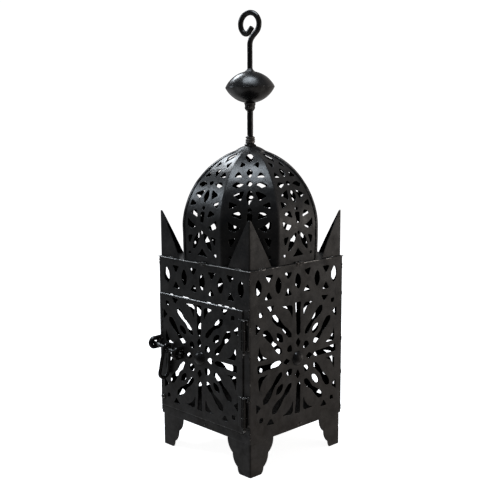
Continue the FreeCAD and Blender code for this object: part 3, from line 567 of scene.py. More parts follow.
def lathe(name, profile, place, material, body="root", in_cad=True, segments=64,
          wobble=lambda r, z, a: (r, z), wear_highlight_and_shade=lambda r, z, a: 0.0):
    """A piece turned round an axis from a closed profile of (radius, height) points."""
    shell, rings = Shell(), []
    for point in profile:
        if point.x < 1e-6:
            rings.append([shell.add(place(0.0, 0.0, point.y), wear_highlight_and_shade(0.0, point.y, 0.0))])
            continue
        rings.append([])
        for k in range(segments):
            angle = 2 * pi * k / segments
            radius, height = wobble(point.x, point.y, angle)
            spot = place(radius * cos(angle), radius * sin(angle), height)
            rings[-1].append(shell.add(spot, wear_highlight_and_shade(point.x, point.y, angle)))
    for near, far in zip(rings, rings[1:] + rings[:1]):
        shell.bridge(near, far)
    piece(name, shell, material, body, in_cad)


def run(start, end, step=1.0):
    """Points along a straight run, without its last."""
    count = max(1, round((end - start).length / step))
    return [start.lerp(end, k / count) for k in range(count)]


def ray(angle):
    """Unit vector in the XZ plane, for an angle in degrees from X."""
    return Vector((cos(radians(angle)), 0, sin(radians(angle))))


def bend(centre, radius, start, end, step=1.0):
    """Points along an arc in the XZ plane, angles in degrees, without its last."""
    count = max(2, round(abs(radians(end - start)) * radius / step))
    return [centre + ray(start + (end - start) * k / count) * radius for k in range(count)]


FILED_END = 0.5


def rod(name, path, radius, place, body="root", segments=20, closed=False, hammer=0.04,
        wear_highlight_and_shade=lambda along: 0.0):
    """Round bar along a path of points, with hammer marks and filed ends."""
    count = len(path)
    padded = path[-1:] + path + path[:1] if closed else path[:1] + path + path[-1:]
    tangents = [(after - before).normalized() for before, after in zip(padded, padded[2:])]
    sides = [tangents[0].orthogonal().normalized()]
    for tangent in tangents[1:]:
        sides.append((sides[-1] - tangent * sides[-1].dot(tangent)).normalized())
    twist = 0.0
    if closed:
        back = (sides[-1] - tangents[0] * sides[-1].dot(tangents[0])).normalized()
        twist = atan2(back.cross(sides[0]).dot(tangents[0]), back.dot(sides[0]))
    stations = [(k, 0.0, 1.0) for k in range(count)]
    if not closed:
        start = [(0, 0.0, 0.5), (0, 0.0, 1 - FILED_END / radius),
                 (0, FILED_END * 0.35, 1 - FILED_END * 0.3 / radius)]
        finish = [(count - 1, -shift, share) for _, shift, share in reversed(start)]
        stations = start + stations[1:-1] + finish
    shell, rings = Shell(), []
    for k, shift, share in stations:
        across = tangents[k].cross(sides[k])
        rings.append([])
        for j in range(segments):
            angle = 2 * pi * j / segments + twist * k / count
            out = sides[k] * cos(angle) + across * sin(angle)
            dent = noise.noise(path[k] * 0.23 + out * 0.9 + Vector((len(name) * 1.7, 0, 0)))
            spot = path[k] + tangents[k] * shift + out * radius * share * (1 + hammer * dent)
            rings[-1].append(shell.add(place(spot), wear_highlight_and_shade(k / count)))
    for near, far in zip(rings, rings[1:] + (rings[:1] if closed else [])):
        shell.bridge(near, far)
    if not closed:
        for ring, k in ((rings[0], 0), (rings[-1], count - 1)):
            shell.bridge(ring, [shell.add(place(path[k]), wear_highlight_and_shade(k / count))])
    piece(name, shell, ROD_IRON, body)


def lumps(name, spots, body="root"):
    """Weld lumps: each spot is (place, outward, long direction, half sizes in mm)."""
    luck = random.Random(name)
    balls = bmesh.new()
    for spot, outward, along, sizes in spots:
        seed = luck.uniform(0, 50)
        outward = Vector(outward).normalized()
        along = Vector(along).normalized()
        axes = Matrix((along, outward.cross(along), outward)).transposed()
        for vertex in bmesh.ops.create_icosphere(balls, subdivisions=3, radius=1.0)["verts"]:
            unit = vertex.co.copy()
            swell = 1 + 0.34 * noise.noise(unit * 1.3 + Vector((seed, 0, 0)))
            swell += 0.14 * noise.noise(unit * 3.4 + Vector((0, seed, 0)))
            vertex.co = (Vector(spot) + axes @ (unit * Vector(sizes)) * swell) * MM
    balls.verts.index_update()
    shell = Shell()
    for vertex in balls.verts:
        shell.add(vertex.co, 0.5 + 0.4 * noise.noise(vertex.co * 900))
    shell.faces = [tuple(vertex.index for vertex in face.verts) for face in balls.faces]
    balls.free()
    piece(name, shell, WELD_IRON, body, in_cad=False, recalculate=False)


# ---- body

def side_panels():
    """Rear sheet full width, the two sides between it and the front."""
    sides = (("right_panel", 1, INNER), ("rear_panel", 2, HALF), ("left_panel", 3, INNER))
    for name, quarter, half in sides:
        luck = random.Random(name)
        holes = rosette((0, middle_mm("right_boss").z), luck) + frieze(luck)
        reach = (-half, half, PANEL_BOTTOM, PANEL_TOP)
        sheet(name, rectangle(*reach), holes, flat_wall(quarter, quarter * 7.3, reach), edge_wear_and_highlight=0.5)


def front_frame():
    """Transom, sill and two jambs round the doorway."""
    for name in ("front_transom", "front_sill", "latch_jamb", "hinge_jamb"):
        low, high = box_mm(name)
        reach = (low.x, high.x, low.z, high.z)
        holes = frieze(random.Random("transom")) if name == "front_transom" else []
        sheet(name, rectangle(*reach), holes, flat_wall(0, 2.1, reach), edge_wear_and_highlight=0.6)


def floor_and_deck():
    """Floor plate, and the roof deck with its eight-sided opening."""
    low, high = box_mm("floor_plate")
    # The floor plate's top is painted dark as soot and shade.
    sheet("floor_plate", rectangle(low.x, high.x, low.y, high.y), [],
          lambda x, y, depth: Vector((x, y, high.z - depth + ripple(x, y, 4.0, 0.3))) * MM,
          spacing=8.0, face_soot_and_shade=-0.55)
    low, top = box_mm("roof_deck")
    corner = (BELLY - 3.0) / cos(pi / 8)
    octagon = trace([tuple(ray(45 * side + 22.5).xz * corner) for side in range(8)], 2.0)
    seed = random.Random("deck").uniform(0, 9)
    square = rectangle(low.x, top.x, low.y, top.y, 1.5)
    wavy = [p * (1 + 0.0035 * bumpy(p.x * 0.11, p.y * 0.11, seed)) for p in square]
    # The deck's front edge is bared brighter than its other edges: a painted highlight.
    sheet("roof_deck", wavy, [octagon],
          lambda x, y, depth: Vector((x, y, top.z - depth + ripple(x, y, 8.0, 0.25, 20.0))) * MM,
          spacing=5.0, hole_wear_and_highlight=0.0, roll=0.6, wear_and_highlight_scale=lambda p: 2.2 if p.y < 1 - HALF else 0.9)


CORNERS = (("front_left", 0), ("front_right", 1), ("rear_right", 2), ("rear_left", 3))


def corner_fold(x, depth, fold):
    """Section of a right-angled fold: metal runs along +Y for x < 0 and along +X for x > 0."""
    half_arc = fold * pi / 4
    if abs(x) <= half_arc:
        angle = pi * 1.25 + x / fold
        return fold + (fold - depth) * cos(angle), fold + (fold - depth) * sin(angle)
    along = fold + abs(x) - half_arc
    return (along, depth) if x > 0 else (depth, along)


def folded_place(quarter, outer, base, fold, seed):
    """Stand a folded sheet on a corner of the body."""
    turning = turned(90 * quarter)

    def place(x, y, depth):
        dish = ripple(x, y, seed, 0.22, 16.0) * min(1.0, abs(x) / 8.0)
        across, along = corner_fold(x, depth + dish, fold)
        return turning @ Vector((across - outer, along - outer, base + y)) * MM
    return place


def fold_points(reach, height):
    """Extra points along a fold, so that it bends evenly."""
    return [Vector((x, y)) for x in (-reach, 0.0, reach) for y in range(2, int(height), 3)]


FOOT_GAUGE = 1.2


def feet():
    """Folded feet behind the panels' lower edges, each side cut in three lobes."""
    low, high = box_mm("foot_front_left")
    right = [(17.1, 0, 0.2), (20.0, 8, 0), (20.9, 8, 0.25), (27.6, 22.5, 0), (28.6, 22.5, 0.25),
             (high.x - low.x, PANEL_BOTTOM, 0), (high.x - low.x, high.z, 0)]
    bulges = [bulge for _, _, bulge in right[-2::-1]] + [0]
    left = [(-x, y, bulge) for (x, y, _), bulge in zip(reversed(right), bulges)]
    for corner, quarter in CORNERS:
        place = folded_place(quarter, -low.x, 0.0, 1.6, random.Random(corner).uniform(0, 40))
        sheet(f"foot_{corner}", softened(trace(right + left, 1.2), 1), [], place, gauge=FOOT_GAUGE,
              extra=fold_points(1.2, high.z - 1), edge_wear_and_highlight=0.45)


def horns():
    """Plain folded triangles standing on the roof deck's corners."""
    low, high = box_mm("horn_front_left")
    width, height, tip = high.x - low.x, high.z - low.z, 2.0
    for corner, quarter in CORNERS:
        luck = random.Random(corner)
        place = folded_place(quarter, -low.x, low.z, 1.2, luck.uniform(50, 90))
        sway = luck.uniform(-0.8, 0.8)
        outline = [(-width, 0), (width, 0, 0.012), (tip + sway, height), (-tip + sway, height, 0.012)]
        sheet(f"horn_{corner}", softened(trace(outline, 1.5), 1), [], place,
              extra=fold_points(0.9, height - 2), edge_wear_and_highlight=0.5)


# ---- dome

TAN = tan(pi / 8)
BELLY_LEVEL = 264.4
UPPER_RADIUS = 88.0
LOWER_RADIUS = 1000.0
TOP_TURN = radians(70.5)
LOWER_LENGTH = LOWER_RADIUS * asin((BELLY_LEVEL - DECK_TOP) / LOWER_RADIUS)
GORE_LENGTH = LOWER_LENGTH + UPPER_RADIUS * TOP_TURN


def gore_point(up):
    """Outer face of a gore's middle: (axis distance, height, slope in radians)."""
    radius = LOWER_RADIUS if up < LOWER_LENGTH else UPPER_RADIUS
    slope = (up - LOWER_LENGTH) / radius
    return BELLY - radius + radius * cos(slope), BELLY_LEVEL + radius * sin(slope), slope


# Every second gore lies over its neighbours: its sides are bent down onto them.
LAP_LIFT = 0.95
LAP_BEND = 4.2
LAP_TAIL = 1.3


def lap(up):
    """Where a lapping gore starts to bend, by how much, and how wide it is when flat."""
    axis, _, slope = gore_point(up)
    turn = atan2(cos(slope) * sin(pi / 4),
                      cos(slope) ** 2 * cos(pi / 4) + sin(slope) ** 2)
    half = (axis + LAP_LIFT * cos(slope)) * TAN
    start = half - LAP_BEND * tan(turn / 2)
    return start, turn, start + LAP_BEND * turn + LAP_TAIL


def gore_place(turn_steps, lapping, seed):
    """Bend a flat gore over the dome; a lapping one has its sides turned down."""
    turning = turned(45 * turn_steps)

    def place(x, y, depth):
        axis, height, slope = gore_point(y)
        across, out = x, -depth
        if lapping:
            start, turn, _ = lap(y)
            past = abs(x) - start
            out += LAP_LIFT
            if past > 0:
                angle = min(turn, past / LAP_BEND)
                tail = max(0.0, past - LAP_BEND * turn)
                level = LAP_LIFT - LAP_BEND
                out = level + (LAP_BEND - depth) * cos(angle) - tail * sin(angle)
                side = start + (LAP_BEND - depth) * sin(angle) + tail * cos(angle)
                across = copysign(side, x)
        out += ripple(x, y, seed, 0.30, 24.0)
        radial = axis + out * cos(slope)
        return turning @ Vector((radial, across, height + out * sin(slope))) * MM
    return place


def gore_outline(lapping):
    """The edge of one flat gore, from its foot round."""
    right = []
    for k in range(71):
        up = GORE_LENGTH * k / 70
        right.append(Vector((lap(up)[2] if lapping else gore_point(up)[0] * TAN - 0.35, up)))
    left = [Vector((-point.x, point.y)) for point in right]
    return run(left[0], right[0], 2.0) + right + run(right[-1], left[-1], 2.0)[1:] + left[:0:-1]


def gores():
    """Eight pierced gores; every second one laps over the two beside it."""
    names = ("right", "rear_right", "rear", "rear_left", "left", "front_left", "front", "front_right")
    outlines = GORE_MIDDLE_HOLES + GORE_SIDE_HOLES + [mirrored(p, True) for p in GORE_SIDE_HOLES]
    for step, side in enumerate(names):
        luck = random.Random(f"gore_{side}")
        lapping = step % 2 == 1
        holes = [hand_cut(swollen(trace(points, 0.7), 0.34), luck, 0.15) for points in outlines]
        extra = []
        for up in range(4, int(GORE_LENGTH) - 3, 2) if lapping else ():
            start, turn, _ = lap(up)
            for share in (0.0, 0.33, 0.67, 1.0):
                across = start + LAP_BEND * turn * share
                extra += [Vector((across, up)), Vector((-across, up))]
        # Lapping edges and hole rims are bared more: wear, partly a painted highlight.
        sheet(f"gore_{side}", gore_outline(lapping), holes,
              gore_place(step, lapping, luck.uniform(0, 50)), material=GORE_IRON, spacing=3.2,
              extra=extra, edge_wear_and_highlight=0.9 if lapping else 0.3, hole_wear_and_highlight=0.8, ring=0.4)


# ---- top

STEM = 3.0
BORE = 3.05


def upright(level):
    """Stand a turned piece on the axis at a level."""
    return lambda x, y, z: Vector((x, y, z + level)) * MM


def around(angle, reach):
    """X and Y of a place round the axis, for noise that meets itself."""
    return cos(angle) * reach, sin(angle) * reach


def uneven(amount, seed):
    """Lumpiness of a cast or soldered piece, growing with its radius."""
    def wobble(radius, height, angle):
        rough = bumpy(*around(angle, 1.4), height * 0.35 + seed)
        return radius + (radius - STEM) * amount * rough, height
    return wobble


def bowl_profile(rim, rise, hole, thick):
    """Half section of a pressed spherical bowl, rim at height 0, crown up."""
    def arc(reach, top):
        sphere = (reach ** 2 + top ** 2) / (2 * top)
        centre = top - sphere
        first = acos(min(1.0, hole / sphere))
        last = asin(-centre / sphere)
        angles = [first + (last - first) * k / 26 for k in range(27)]
        points = [Vector((sphere * cos(a), centre + sphere * sin(a))) for a in angles]
        points[0].x = points[0].x if hole else 0.0
        return points
    lip = [Vector((rim, -thick * 0.35)), Vector((rim - thick * 0.5, -thick * 0.6)),
           Vector((rim - thick * 1.1, -thick * 0.35))]
    return arc(rim, rise) + lip + arc(rim - thick * 1.2, rise - thick)[::-1]


def cap():
    """The cap over the gores' tops, its rim scalloped by them, and its ribbed collar."""
    low, high = box_mm("dome_cap")
    rim = high.x

    def notched(radius, height, angle):
        edge = (radius / rim) ** 3
        scallop = 0.045 * cos(8 * angle) + 0.05 * bumpy(*around(angle, 2), 1)
        lift = 0.5 * edge * bumpy(*around(angle, 3), 8)
        return radius * (1 + edge * scallop), height + lift - 0.5 * edge
    lathe("dome_cap", bowl_profile(rim, high.z - low.z, BORE, GAUGE), upright(low.z), SHEET_IRON,
          segments=96, wobble=notched,
          wear_highlight_and_shade=lambda r, z, a: 0.9 * (r / rim) ** 6 * max(0.0, sin(3 * a + 1)))
    ribs = [(BORE, 0.05), (6.6, -0.7), (6.3, 0.6, -0.2), (4.5, 2.2, 0.8), (4.5, 4.7, 0.8),
            (4.5, 7.2, 0.8), (4.3, 9.6, -0.2), (BORE, 11.2)]
    lathe("cap_collar", trace(ribs, 0.35), upright(high.z), WELD_IRON, segments=40,
          wobble=uneven(0.35, 2.0), wear_highlight_and_shade=lambda r, z, a: 0.75 if r > 4.9 and z > 1.5 else 0.2)


def bead():
    """The hollow bead on the stem, leaning a little, its collars and the sleeve under it."""
    seam, half, radius, gap = 419.0, 17.5, 27.85, 0.25
    lean = Matrix.Rotation(radians(1.6), 3, ray(-45).xzy)

    def planished(r, z, angle):
        spot = Vector((*around(angle, r * 0.16), z * 0.16))
        return r * (1 + 0.006 * noise.noise(spot)), z + 0.10 * noise.noise(spot + Vector((7, 0, 0)))
    for name, sign in (("bead_upper_bowl", 1), ("bead_lower_bowl", -1)):
        def place(x, y, z, sign=sign):
            return (lean @ Vector((x, y, sign * (z + gap))) + Vector((0, 0, seam))) * MM
        lathe(name, bowl_profile(radius, half, STEM + 0.7, 0.8), place, BOWL_IRON, segments=128,
              wobble=planished, wear_highlight_and_shade=lambda r, z, a: 0.55 if z < 0.2 and r > 27 else 0.0)
    lump = [(BORE, 0), (3.8, 0, 0.3), (5.4, 4.2, -0.2), (6.6, 8.9), (BORE, 8.3)]
    lathe("bead_lower_collar", trace(lump, 0.4), upright(seam - half - 8.9), WELD_IRON, segments=40,
          wobble=uneven(0.6, 5.0), wear_highlight_and_shade=lambda r, z, a: 0.35)
    low, high = box_mm("stem_sleeve")
    tube = [(BORE, 0), (3.4, 0), (3.4, high.z - low.z), (BORE, high.z - low.z)]
    lathe("stem_sleeve", trace(tube, 1.0), upright(low.z), ROD_IRON, segments=32,
          wobble=uneven(0.5, 11.0))
    fillet = [(BORE, 0.3), (5.9, -0.2, -0.2), (BORE, 3.3)]
    lathe("bead_upper_collar", trace(fillet, 0.4), upright(seam + half), WELD_IRON, segments=40,
          wobble=uneven(0.5, 8.0), wear_highlight_and_shade=lambda r, z, a: 0.35)


def hanging_hook():
    """The stem rises, swings out 45 degrees, runs round the loop and curls in."""
    ring, level, swing, curl, tip_length = 12.4, 488.0, 12.0, 5.0, 6.8
    leave, stop = 228, 320
    centre = Vector((0, 0, level))
    tangent = centre + ray(-45) * ring
    leg = (tangent.x - swing * (1 - sqrt(0.5))) / sqrt(0.5)
    swing_end = tangent - ray(45) * leg
    turn_centre = swing_end + ray(-45) * swing
    curl_centre = centre + ray(leave) * (ring - curl)
    tail = curl_centre + ray(stop) * curl
    tip = tail + ray(stop + 90) * tip_length
    foot = Vector((0, 0, box_mm("hanging_hook")[0].z))
    path = run(foot, turn_centre - Vector((swing, 0, 0)), 2.0)
    path += bend(turn_centre, swing, 180, 135)
    path += run(swing_end, tangent)
    path += bend(centre, ring, -45, leave)
    path += bend(curl_centre, curl, leave, stop, 0.7)
    path += run(tail, tip) + [tip]
    turning = turned(11)
    rod("hanging_hook", path, STEM, lambda p: turning @ p * MM, segments=24, hammer=0.05)


def bosses():
    """Domed bosses over the middle of each rosette."""
    for quarter, name in enumerate(("door_boss", "right_boss", "rear_boss", "left_boss")):
        low, high = box_mm(name)
        turning = turned(90 * quarter)
        base = turning.transposed() @ middle_mm(name)
        rise = min(high.x - low.x, high.y - low.y)

        def place(x, y, z, turning=turning, base=base, rise=rise):
            return turning @ Vector((base.x + x, base.y + rise / 2 - z, base.z + y)) * MM

        def dimpled(r, z, angle, seed=quarter):
            spot = Vector((*around(angle, r * 0.3), seed))
            dent = noise.noise(spot + Vector((3, 0, 0)))
            return r * (1 + 0.02 * noise.noise(spot)), z * (1 + 0.05 * dent)
        lathe(name, bowl_profile((high.z - low.z) / 2, rise, 0.0, 0.8), place, BOWL_IRON,
              body="root" if quarter else "door", wobble=dimpled)


# ---- door

# The door's rosette is a little smaller than the panels'.
DOOR_SCALE = 60.5 / 63.5


def door():
    """The pierced door, laid over the front frame."""
    middle = middle_mm("door_boss")
    holes = rosette((middle.x, middle.z), random.Random("door"), DOOR_SCALE)
    reach = (DOOR_LOW.x, DOOR_HIGH.x, DOOR_LOW.z, DOOR_HIGH.z)
    # The top edge is bared into a continuous painted highlight; the back is painted a little dark as soot
    # and shade.
    sheet("door_panel", rectangle(*reach), holes, flat_wall(0, 31.0, reach, -DOOR_LOW.y, 0.3),
          body="door", roll=1.0, back_soot_and_shade=-0.2, wear_and_highlight_scale=lambda p: 2.6 if p.y > DOOR_HIGH.z - 1.2 else 0.8)


def knuckle_section():
    """Section of a rolled knuckle: a strip that comes in flat and wraps round the pin."""
    turns = [-78 + 330 * k / 24 for k in range(25)]
    return [ray(turn).xz * 2.75 for turn in turns] + [ray(turn).xz * 1.6 for turn in turns[::-1]]


def strip(left, right, back, front, spacing=0.9):
    """Section of a flat strip, seen from above."""
    return trace([(left, back), (right, back), (right, front), (left, front)], spacing)


def extruded(name, prisms, place, body, bevel=0.25):
    """Prisms along Z, each a (section, bottom, top), their ends chamfered."""
    shell = Shell()
    for loop, bottom, top in prisms:
        loop = loop if area(loop) > 0 else loop[::-1]
        levels = [(bottom, bevel), (bottom + bevel * 0.4, bevel * 0.3), (bottom + bevel, 0.0)]
        steps = max(1, round((top - bottom) / 3.0))
        rise = (top - bottom - 2 * bevel) / steps
        levels += [(bottom + bevel + rise * k, 0.0) for k in range(1, steps)]
        levels += [(top - bevel, 0.0), (top - bevel * 0.4, bevel * 0.3), (top, bevel)]
        rings = []
        for height, inset in levels:
            wear_highlight_shade = 0.9 if inset > 0 else 0.15
            rings.append([shell.add(place(*point, height), wear_highlight_shade) for point in offset(loop, inset)])
        for near, far in zip(rings, rings[1:]):
            shell.bridge(near, far)
        shell.faces += [tuple(reversed(rings[0])), tuple(rings[-1])]
    piece(name, shell, SHEET_IRON, body)


def hinges():
    """Two hinges: frame leaf with two knuckles, door leaf with one, and a bent pin."""
    axis = Vector((68.5, -78.1, 0))
    play, crook, crook_turn = 0.3, 2.6, 35
    for which in ("lower_hinge", "upper_hinge"):
        low, high = box_mm(f"{which}_frame_leaf")
        pitch = (high.z - low.z + play) / 3

        def place(x, y, z):
            return (Vector((x, y, z)) + axis) * MM
        prisms = [(strip(3.2, high.x - axis.x, 2.1, 3.1, 1.2), low.z, high.z)]
        for start in (low.z, low.z + pitch * 2):
            for section in (knuckle_section(), strip(0.6, 3.3, 2.12, 3.08)):
                prisms.append((section, start, start + pitch - play))
        extruded(f"{which}_frame_leaf", prisms, place, "root")
        door_low, door_high = box_mm(f"{which}_door_leaf")
        left, start = door_low.x - axis.x, low.z + pitch
        prisms = [(strip(left, left + 5, 0.7, 1.7, 1.2), door_low.z, door_high.z)]
        for section in (knuckle_section(), strip(left + 4.9, -1.4, 0.72, 1.68)):
            prisms.append((section, start, start + pitch - play))
        extruded(f"{which}_door_leaf", prisms, place, "door")
        bottom = Vector((0, 0, low.z - 1.2))
        centre = bottom + Vector((crook, 0, 0))
        last = centre + ray(180 + crook_turn) * crook
        tip = last + ray(270 + crook_turn) * 2.2
        path = run(Vector((0, 0, box_mm(f"{which}_pin")[1].z)), bottom, 1.5)
        path += bend(centre, crook, 180, 180 + crook_turn, 0.4) + run(last, tip, 0.7) + [tip]
        rod(f"{which}_pin", path, 1.5, lambda p: place(*p), segments=16, hammer=0.03,
            wear_highlight_and_shade=lambda t: 0.9 if t > 0.9 or t < 0.04 else 0.1)


# ---- welds

def weld_row(luck, start, end, count, outward, sizes):
    """Dabs strung along a seam, each a little off its line."""
    start, end = Vector(start), Vector(end)
    along = end - start
    spots = []
    for k in range(count):
        here = start.lerp(end, (k + 0.5 + luck.uniform(-0.3, 0.3)) / count)
        scale = luck.uniform(0.7, 1.25)
        spots.append((here, outward, along, tuple(size * scale for size in sizes)))
    return spots


def body_welds(luck):
    """Dabs at the deck's seams, the foot of each side, the corners and the keeper."""
    out, up_out, deck = (0, -1, 0), (0, -1, 0.6), DECK_TOP
    spots = []
    for quarter in range(4):
        corner_dab = (1.9, 1.0, 0.8) if quarter == 1 else (1.5, 0.6, 0.3)
        rows = [
            ((-5, -HALF - 0.8, deck + 0.2), (6, -HALF - 0.8, deck + 0.4), 4, up_out, (2.4, 1.5, 1.2)),
            ((-3, -HALF - 0.3, deck - 2.4), (5, -HALF - 0.3, deck - 2.2), 3, out, (1.8, 1.1, 0.8)),
            ((-1, -HALF, PANEL_BOTTOM + 3), (5, -HALF, PANEL_BOTTOM + 5), 3, out, (1.6, 1.3, 0.7)),
        ]
        for across in (-60, 52):
            rows.append(((across, -73.7, deck), (across + 9, -73.7, deck), 3, (0, -1, 1),
                         (1.8, 1.2, 0.9)))
        turning = turned(90 * quarter)
        for start, end, count, facing, sizes in rows:
            spots += weld_row(luck, turning @ Vector(start), turning @ Vector(end), count,
                              turning @ Vector(facing), sizes)
        for level in (46, 84, 128, 176, 214):
            foot = turning @ Vector((-HALF, -HALF, level + luck.uniform(-5, 5)))
            spots += weld_row(luck, foot, foot + Vector((0, 0, 6)), 2, turning @ Vector((-1, -1, 0)),
                              corner_dab)
    keeper = middle_mm("keeper_staple")
    spots.append((Vector((keeper.x + 0.4, -76.8, keeper.z)), (-1, -1, 0), (0, 0, 1), (4.6, 3.2, 2.8)))
    lumps("body_welds", spots)


def door_side_welds(luck):
    """Dabs down the hinge jamb, and down the door's latch edge."""
    spots = weld_row(luck, (66, -76.2, 57), (73.5, -76.2, 57), 2, (0, -1, 0), (1.6, 1.0, 0.6))
    for level in (59, 88, 144, 173):
        spots += weld_row(luck, (73.6, -76.3, level - 3), (73.6, -76.3, level + 3), 2, (0.4, -1, 0),
                          (1.7, 1.2, 0.8))
    lumps("frame_welds", spots)
    spots = weld_row(luck, (-71.0, -76.6, 108), (-70.6, -76.6, 166), 9, (-0.6, -1, 0), (1.6, 0.9, 0.6))
    lumps("door_welds", spots, "door")


def stem_welds(luck):
    """Lumps round the stem under the bead, and round the foot of the cap's collar."""
    spots = []
    for k in range(7):
        out = ray(degrees(k * 0.9 + luck.uniform(-0.2, 0.2))).xzy
        reach = luck.uniform(4.2, 5.6)
        high = Vector((0, 0, 398.5 + luck.uniform(-2.5, 2.5)))
        low = Vector((0, 0, 354.5 + luck.uniform(-0.5, 0.5)))
        spots.append((out * reach + high, out, (0, 0, 1), (2.2, 1.8, 1.5)))
        spots.append((out * 5.0 + low, out + Vector((0, 0, 1)), (out.y, -out.x, 0), (2.0, 1.4, 1.0)))
    lumps("stem_welds", spots)


def welds():
    """The dabs of weld that hold the lantern together."""
    luck = random.Random("welds")
    body_welds(luck)
    door_side_welds(luck)
    stem_welds(luck)


def door_stud():
    """A domed stud near the door's lower latch corner, dented in its middle."""
    profile = trace([(0, 0.5), (1.2, 0.6), (2.0, 1.5, 0.6), (3.6, 0.9, 0.3), (4.0, 0), (0, 0)], 0.4)
    lathe("door_stud", profile,
          lambda x, y, z: Vector((DOOR_LOW.x + 4.6 + x, DOOR_LOW.y - z, 59.5 + y)) * MM, WELD_IRON,
          "door", in_cad=False, segments=28, wear_highlight_and_shade=lambda r, z, a: 0.8 if 1.4 < r < 2.6 else 0.1)


# ---- latch

BOLT_TILT = radians(7)
STAPLE_EYE = 5.0
STAPLE_WIRE = 2.2


def staples(bolt_y):
    """The keeper on the body and the guide on the door, each a bent wire."""
    for name, body in (("keeper_staple", "root"), ("guide_staple", "door")):
        legs = box_mm(name)[1].y - bolt_y
        middle = middle_mm(name)
        spot = Vector((middle.x, bolt_y, middle.z))
        top, bottom = Vector((0, 0, STAPLE_EYE)), Vector((0, 0, -STAPLE_EYE))
        back = Vector((-legs, 0, 0))
        # drawn in XZ with X outward from the door, then turned onto the lantern
        path = run(top + back, top) + bend(Vector((0, 0, 0)), STAPLE_EYE, 90, -90, 0.7)
        path += run(bottom, bottom + back) + [bottom + back]
        rod(name, path, STAPLE_WIRE + 0.5, lambda p: (spot + Vector((p.y, -p.x, p.z))) * MM, body=body,
            hammer=0.09)


def latch():
    """Tilted sliding bolt through a keeper on the body and a guide on the door."""
    keeper = middle_mm("keeper_staple")
    bolt_y = box_mm("keeper_staple")[0].y + STAPLE_EYE + STAPLE_WIRE
    staples(bolt_y)

    def on_bolt(across):
        return Vector((across, bolt_y, keeper.z - (across - keeper.x) * tan(BOLT_TILT)))
    left, shank, radius, eye = -84.0, 54.5, 2.0, -54.0
    pull = (eye - left) / cos(BOLT_TILT)
    profile = [(0, 0), (radius - 0.6, 0), (radius, 0.8)]
    for start in (pull - 3.9, pull + 2.4):
        profile += [(radius, start), (3.0, start, 0.5), (3.0, start + 1.5), (radius, start + 1.5)]
    profile += [(radius, shank), (3.0, shank, 0.4), (3.0, shank + 1.5), (radius, shank + 3.0),
                (0, shank + 3.0)]
    tilt = Matrix.Rotation(BOLT_TILT, 3, "Y")
    lathe("latch_bolt", trace(profile, 0.6),
          lambda x, y, z: (on_bolt(left) + tilt @ Vector((z, x, y))) * MM, ROD_IRON, "bolt",
          segments=32, wobble=lambda r, z, a: (r * (1 + 0.04 * bumpy(*around(a, 1), z * 0.3)), z))
    thick, drop, bottom = 2.0, 29.0, 6.4
    top = radius + 0.4 + thick
    slant = degrees(asin((bottom - top) / drop))
    low = Vector((0, 0, -drop))
    path = bend(Vector((0, 0, 0)), top, slant, 180 - slant, 0.6)
    path += run(ray(180 - slant) * top, ray(180 - slant) * bottom + low)
    path += bend(low, bottom, 180 - slant, 360 + slant, 0.7)
    path += run(ray(slant) * bottom + low, ray(slant) * top)
    turning = tilt @ turned(-3.2, "X") @ turned(90)
    rod("ring_pull", path, thick, lambda p: (turning @ p + on_bolt(eye)) * MM, body="pull",
        segments=18, closed=True, hammer=0.10)


side_panels()
front_frame()
floor_and_deck()
feet()
horns()
gores()
cap()
bead()
hanging_hook()
bosses()
door()
hinges()
latch()
welds()
door_stud()


# ---- stage

def direction(azimuth, elevation):
    """Azimuth 0 stands in front of the door, 90 on the hinge side."""
    across = ray(azimuth - 90).xzy * cos(radians(elevation))
    return across + Vector((0, 0, sin(radians(elevation))))


def camera():
    """Level with the top of the body, facing the hinge corner, and leaning a little."""
    azimuth, elevation, distance = 45.8, 8.9, 1.005
    back = direction(azimuth, elevation)
    right = ray(azimuth).xzy
    target = Vector((0, 0, 0.2337)) - right * 0.00077
    level_right = Matrix.Rotation(radians(-0.24), 3, back) @ right
    data = bpy.data.cameras.new("camera")
    data.lens = 62.53
    data.sensor_width = 36.0
    made = linked("camera", data)
    axes = Matrix((level_right, back.cross(level_right), back)).transposed().to_4x4()
    made.matrix_world = Matrix.Translation(target + back * distance) @ axes
    bpy.context.scene.camera = made


def soft_light(name, azimuth, elevation, distance, size, power, colour):
    """A rectangular lamp that faces the lantern's dome."""
    data = bpy.data.lights.new(name, "AREA")
    data.shape = "RECTANGLE"
    data.size, data.size_y = size
    data.energy = power
    data.color = colour
    made = linked(name, data)
    back = direction(azimuth, elevation)
    made.location = Vector((0, 0, 0.28)) + back * distance
    made.rotation_mode = "QUATERNION"
    made.rotation_quaternion = (-back).to_track_quat("-Z", "Y")


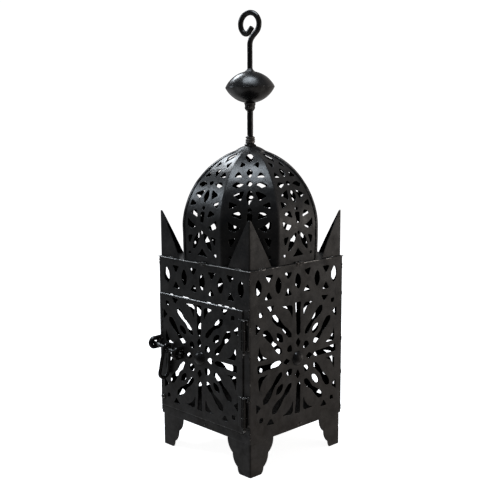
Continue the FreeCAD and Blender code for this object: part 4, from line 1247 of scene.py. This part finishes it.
def surroundings():
    """A white studio: seen white, and lighting the iron dimly and from above."""
    world = bpy.data.worlds.new("studio")
    bpy.context.scene.world = world
    world.use_nodes = True
    tree = world.node_tree
    tree.nodes.clear()
    place = add_node(tree, "ShaderNodeTexCoord", {}).outputs["Generated"]
    x, y, z = add_node(tree, "ShaderNodeSeparateXYZ", {"Vector": place}).outputs
    across = combined(tree, "ADD", x, y, False)
    toward = combined(tree, "SUBTRACT", x, y, False)
    side = ranged(tree, across, -1.1, 1.1, ranged(tree, z, -0.38, -0.18, 0.46, 0.14), 0.42)
    side = combined(tree, "MULTIPLY", side, ranged(tree, toward, 0.55, 1.25, 1.0, 0.2))
    glow = combined(tree, "MULTIPLY", side, ranged(tree, z, 0.35, 0.85, 1.0, 0.35))
    screens = ranged(tree, noise_at(tree, place, 2.6, 2.0, 0.5), 0.36, 0.64, 0.62, 1.38)
    warmth = ranged(tree, across, -0.9, 0.9, 0.0, 1.0)
    room = add_node(tree, "ShaderNodeBackground", {
        "Color": blended(tree, warmth, (0.95, 0.97, 1.0, 1.0), (1.0, 0.925, 0.875, 1.0)),
        "Strength": combined(tree, "MULTIPLY", glow, screens, False)})
    seen = add_node(tree, "ShaderNodeBackground", {"Color": (1, 1, 1, 1), "Strength": 1.05})
    eye = add_node(tree, "ShaderNodeLightPath", {}).outputs["Is Camera Ray"]
    mixed = add_node(tree, "ShaderNodeMixShader", {0: eye, 1: room.outputs[0], 2: seen.outputs[0]})
    add_node(tree, "ShaderNodeOutputWorld", {"Surface": mixed.outputs[0]})
    soft_light("overhead", 30, 84, 1.2, (0.7, 0.5), 10.5, (0.82, 0.91, 1.0))
    soft_light("left_card", -104, 44, 1.4, (0.45, 0.35), 7.5, (0.88, 0.94, 1.0))
    soft_light("left_window", -58, 27, 1.3, (0.30, 0.30), 3.0, (0.82, 0.91, 1.0))
    soft_light("right_card", 140, 2, 1.6, (0.9, 0.4), 1.6, (1.0, 0.93, 0.86))


def floor():
    """A plain pale floor; the iron doesn't mirror it."""
    mesh = bpy.data.meshes.new("floor")
    reach = 12.0
    corners = [(-reach, -reach, 0), (reach, -reach, 0), (reach, reach, 0), (-reach, reach, 0)]
    mesh.from_pydata(corners, [], [(0, 1, 2, 3)])
    material, tree, shader = shader_tree("pale_floor")
    place = add_node(tree, "ShaderNodeTexCoord", {}).outputs["Object"]
    feed(tree, shader, {
        "Base Color": blended(tree, noise_at(tree, place, 6.0), rgba((0.90,) * 3), rgba((0.93,) * 3)),
        "Roughness": 0.9, "Emission Color": (1, 1, 1, 1), "Emission Strength": 0.94})
    mesh.materials.append(material)
    made = linked("floor", mesh)
    made.visible_glossy = False
    made.visible_diffuse = False


camera()
surroundings()
floor()
bpy.context.scene.view_settings.view_transform = "Standard"
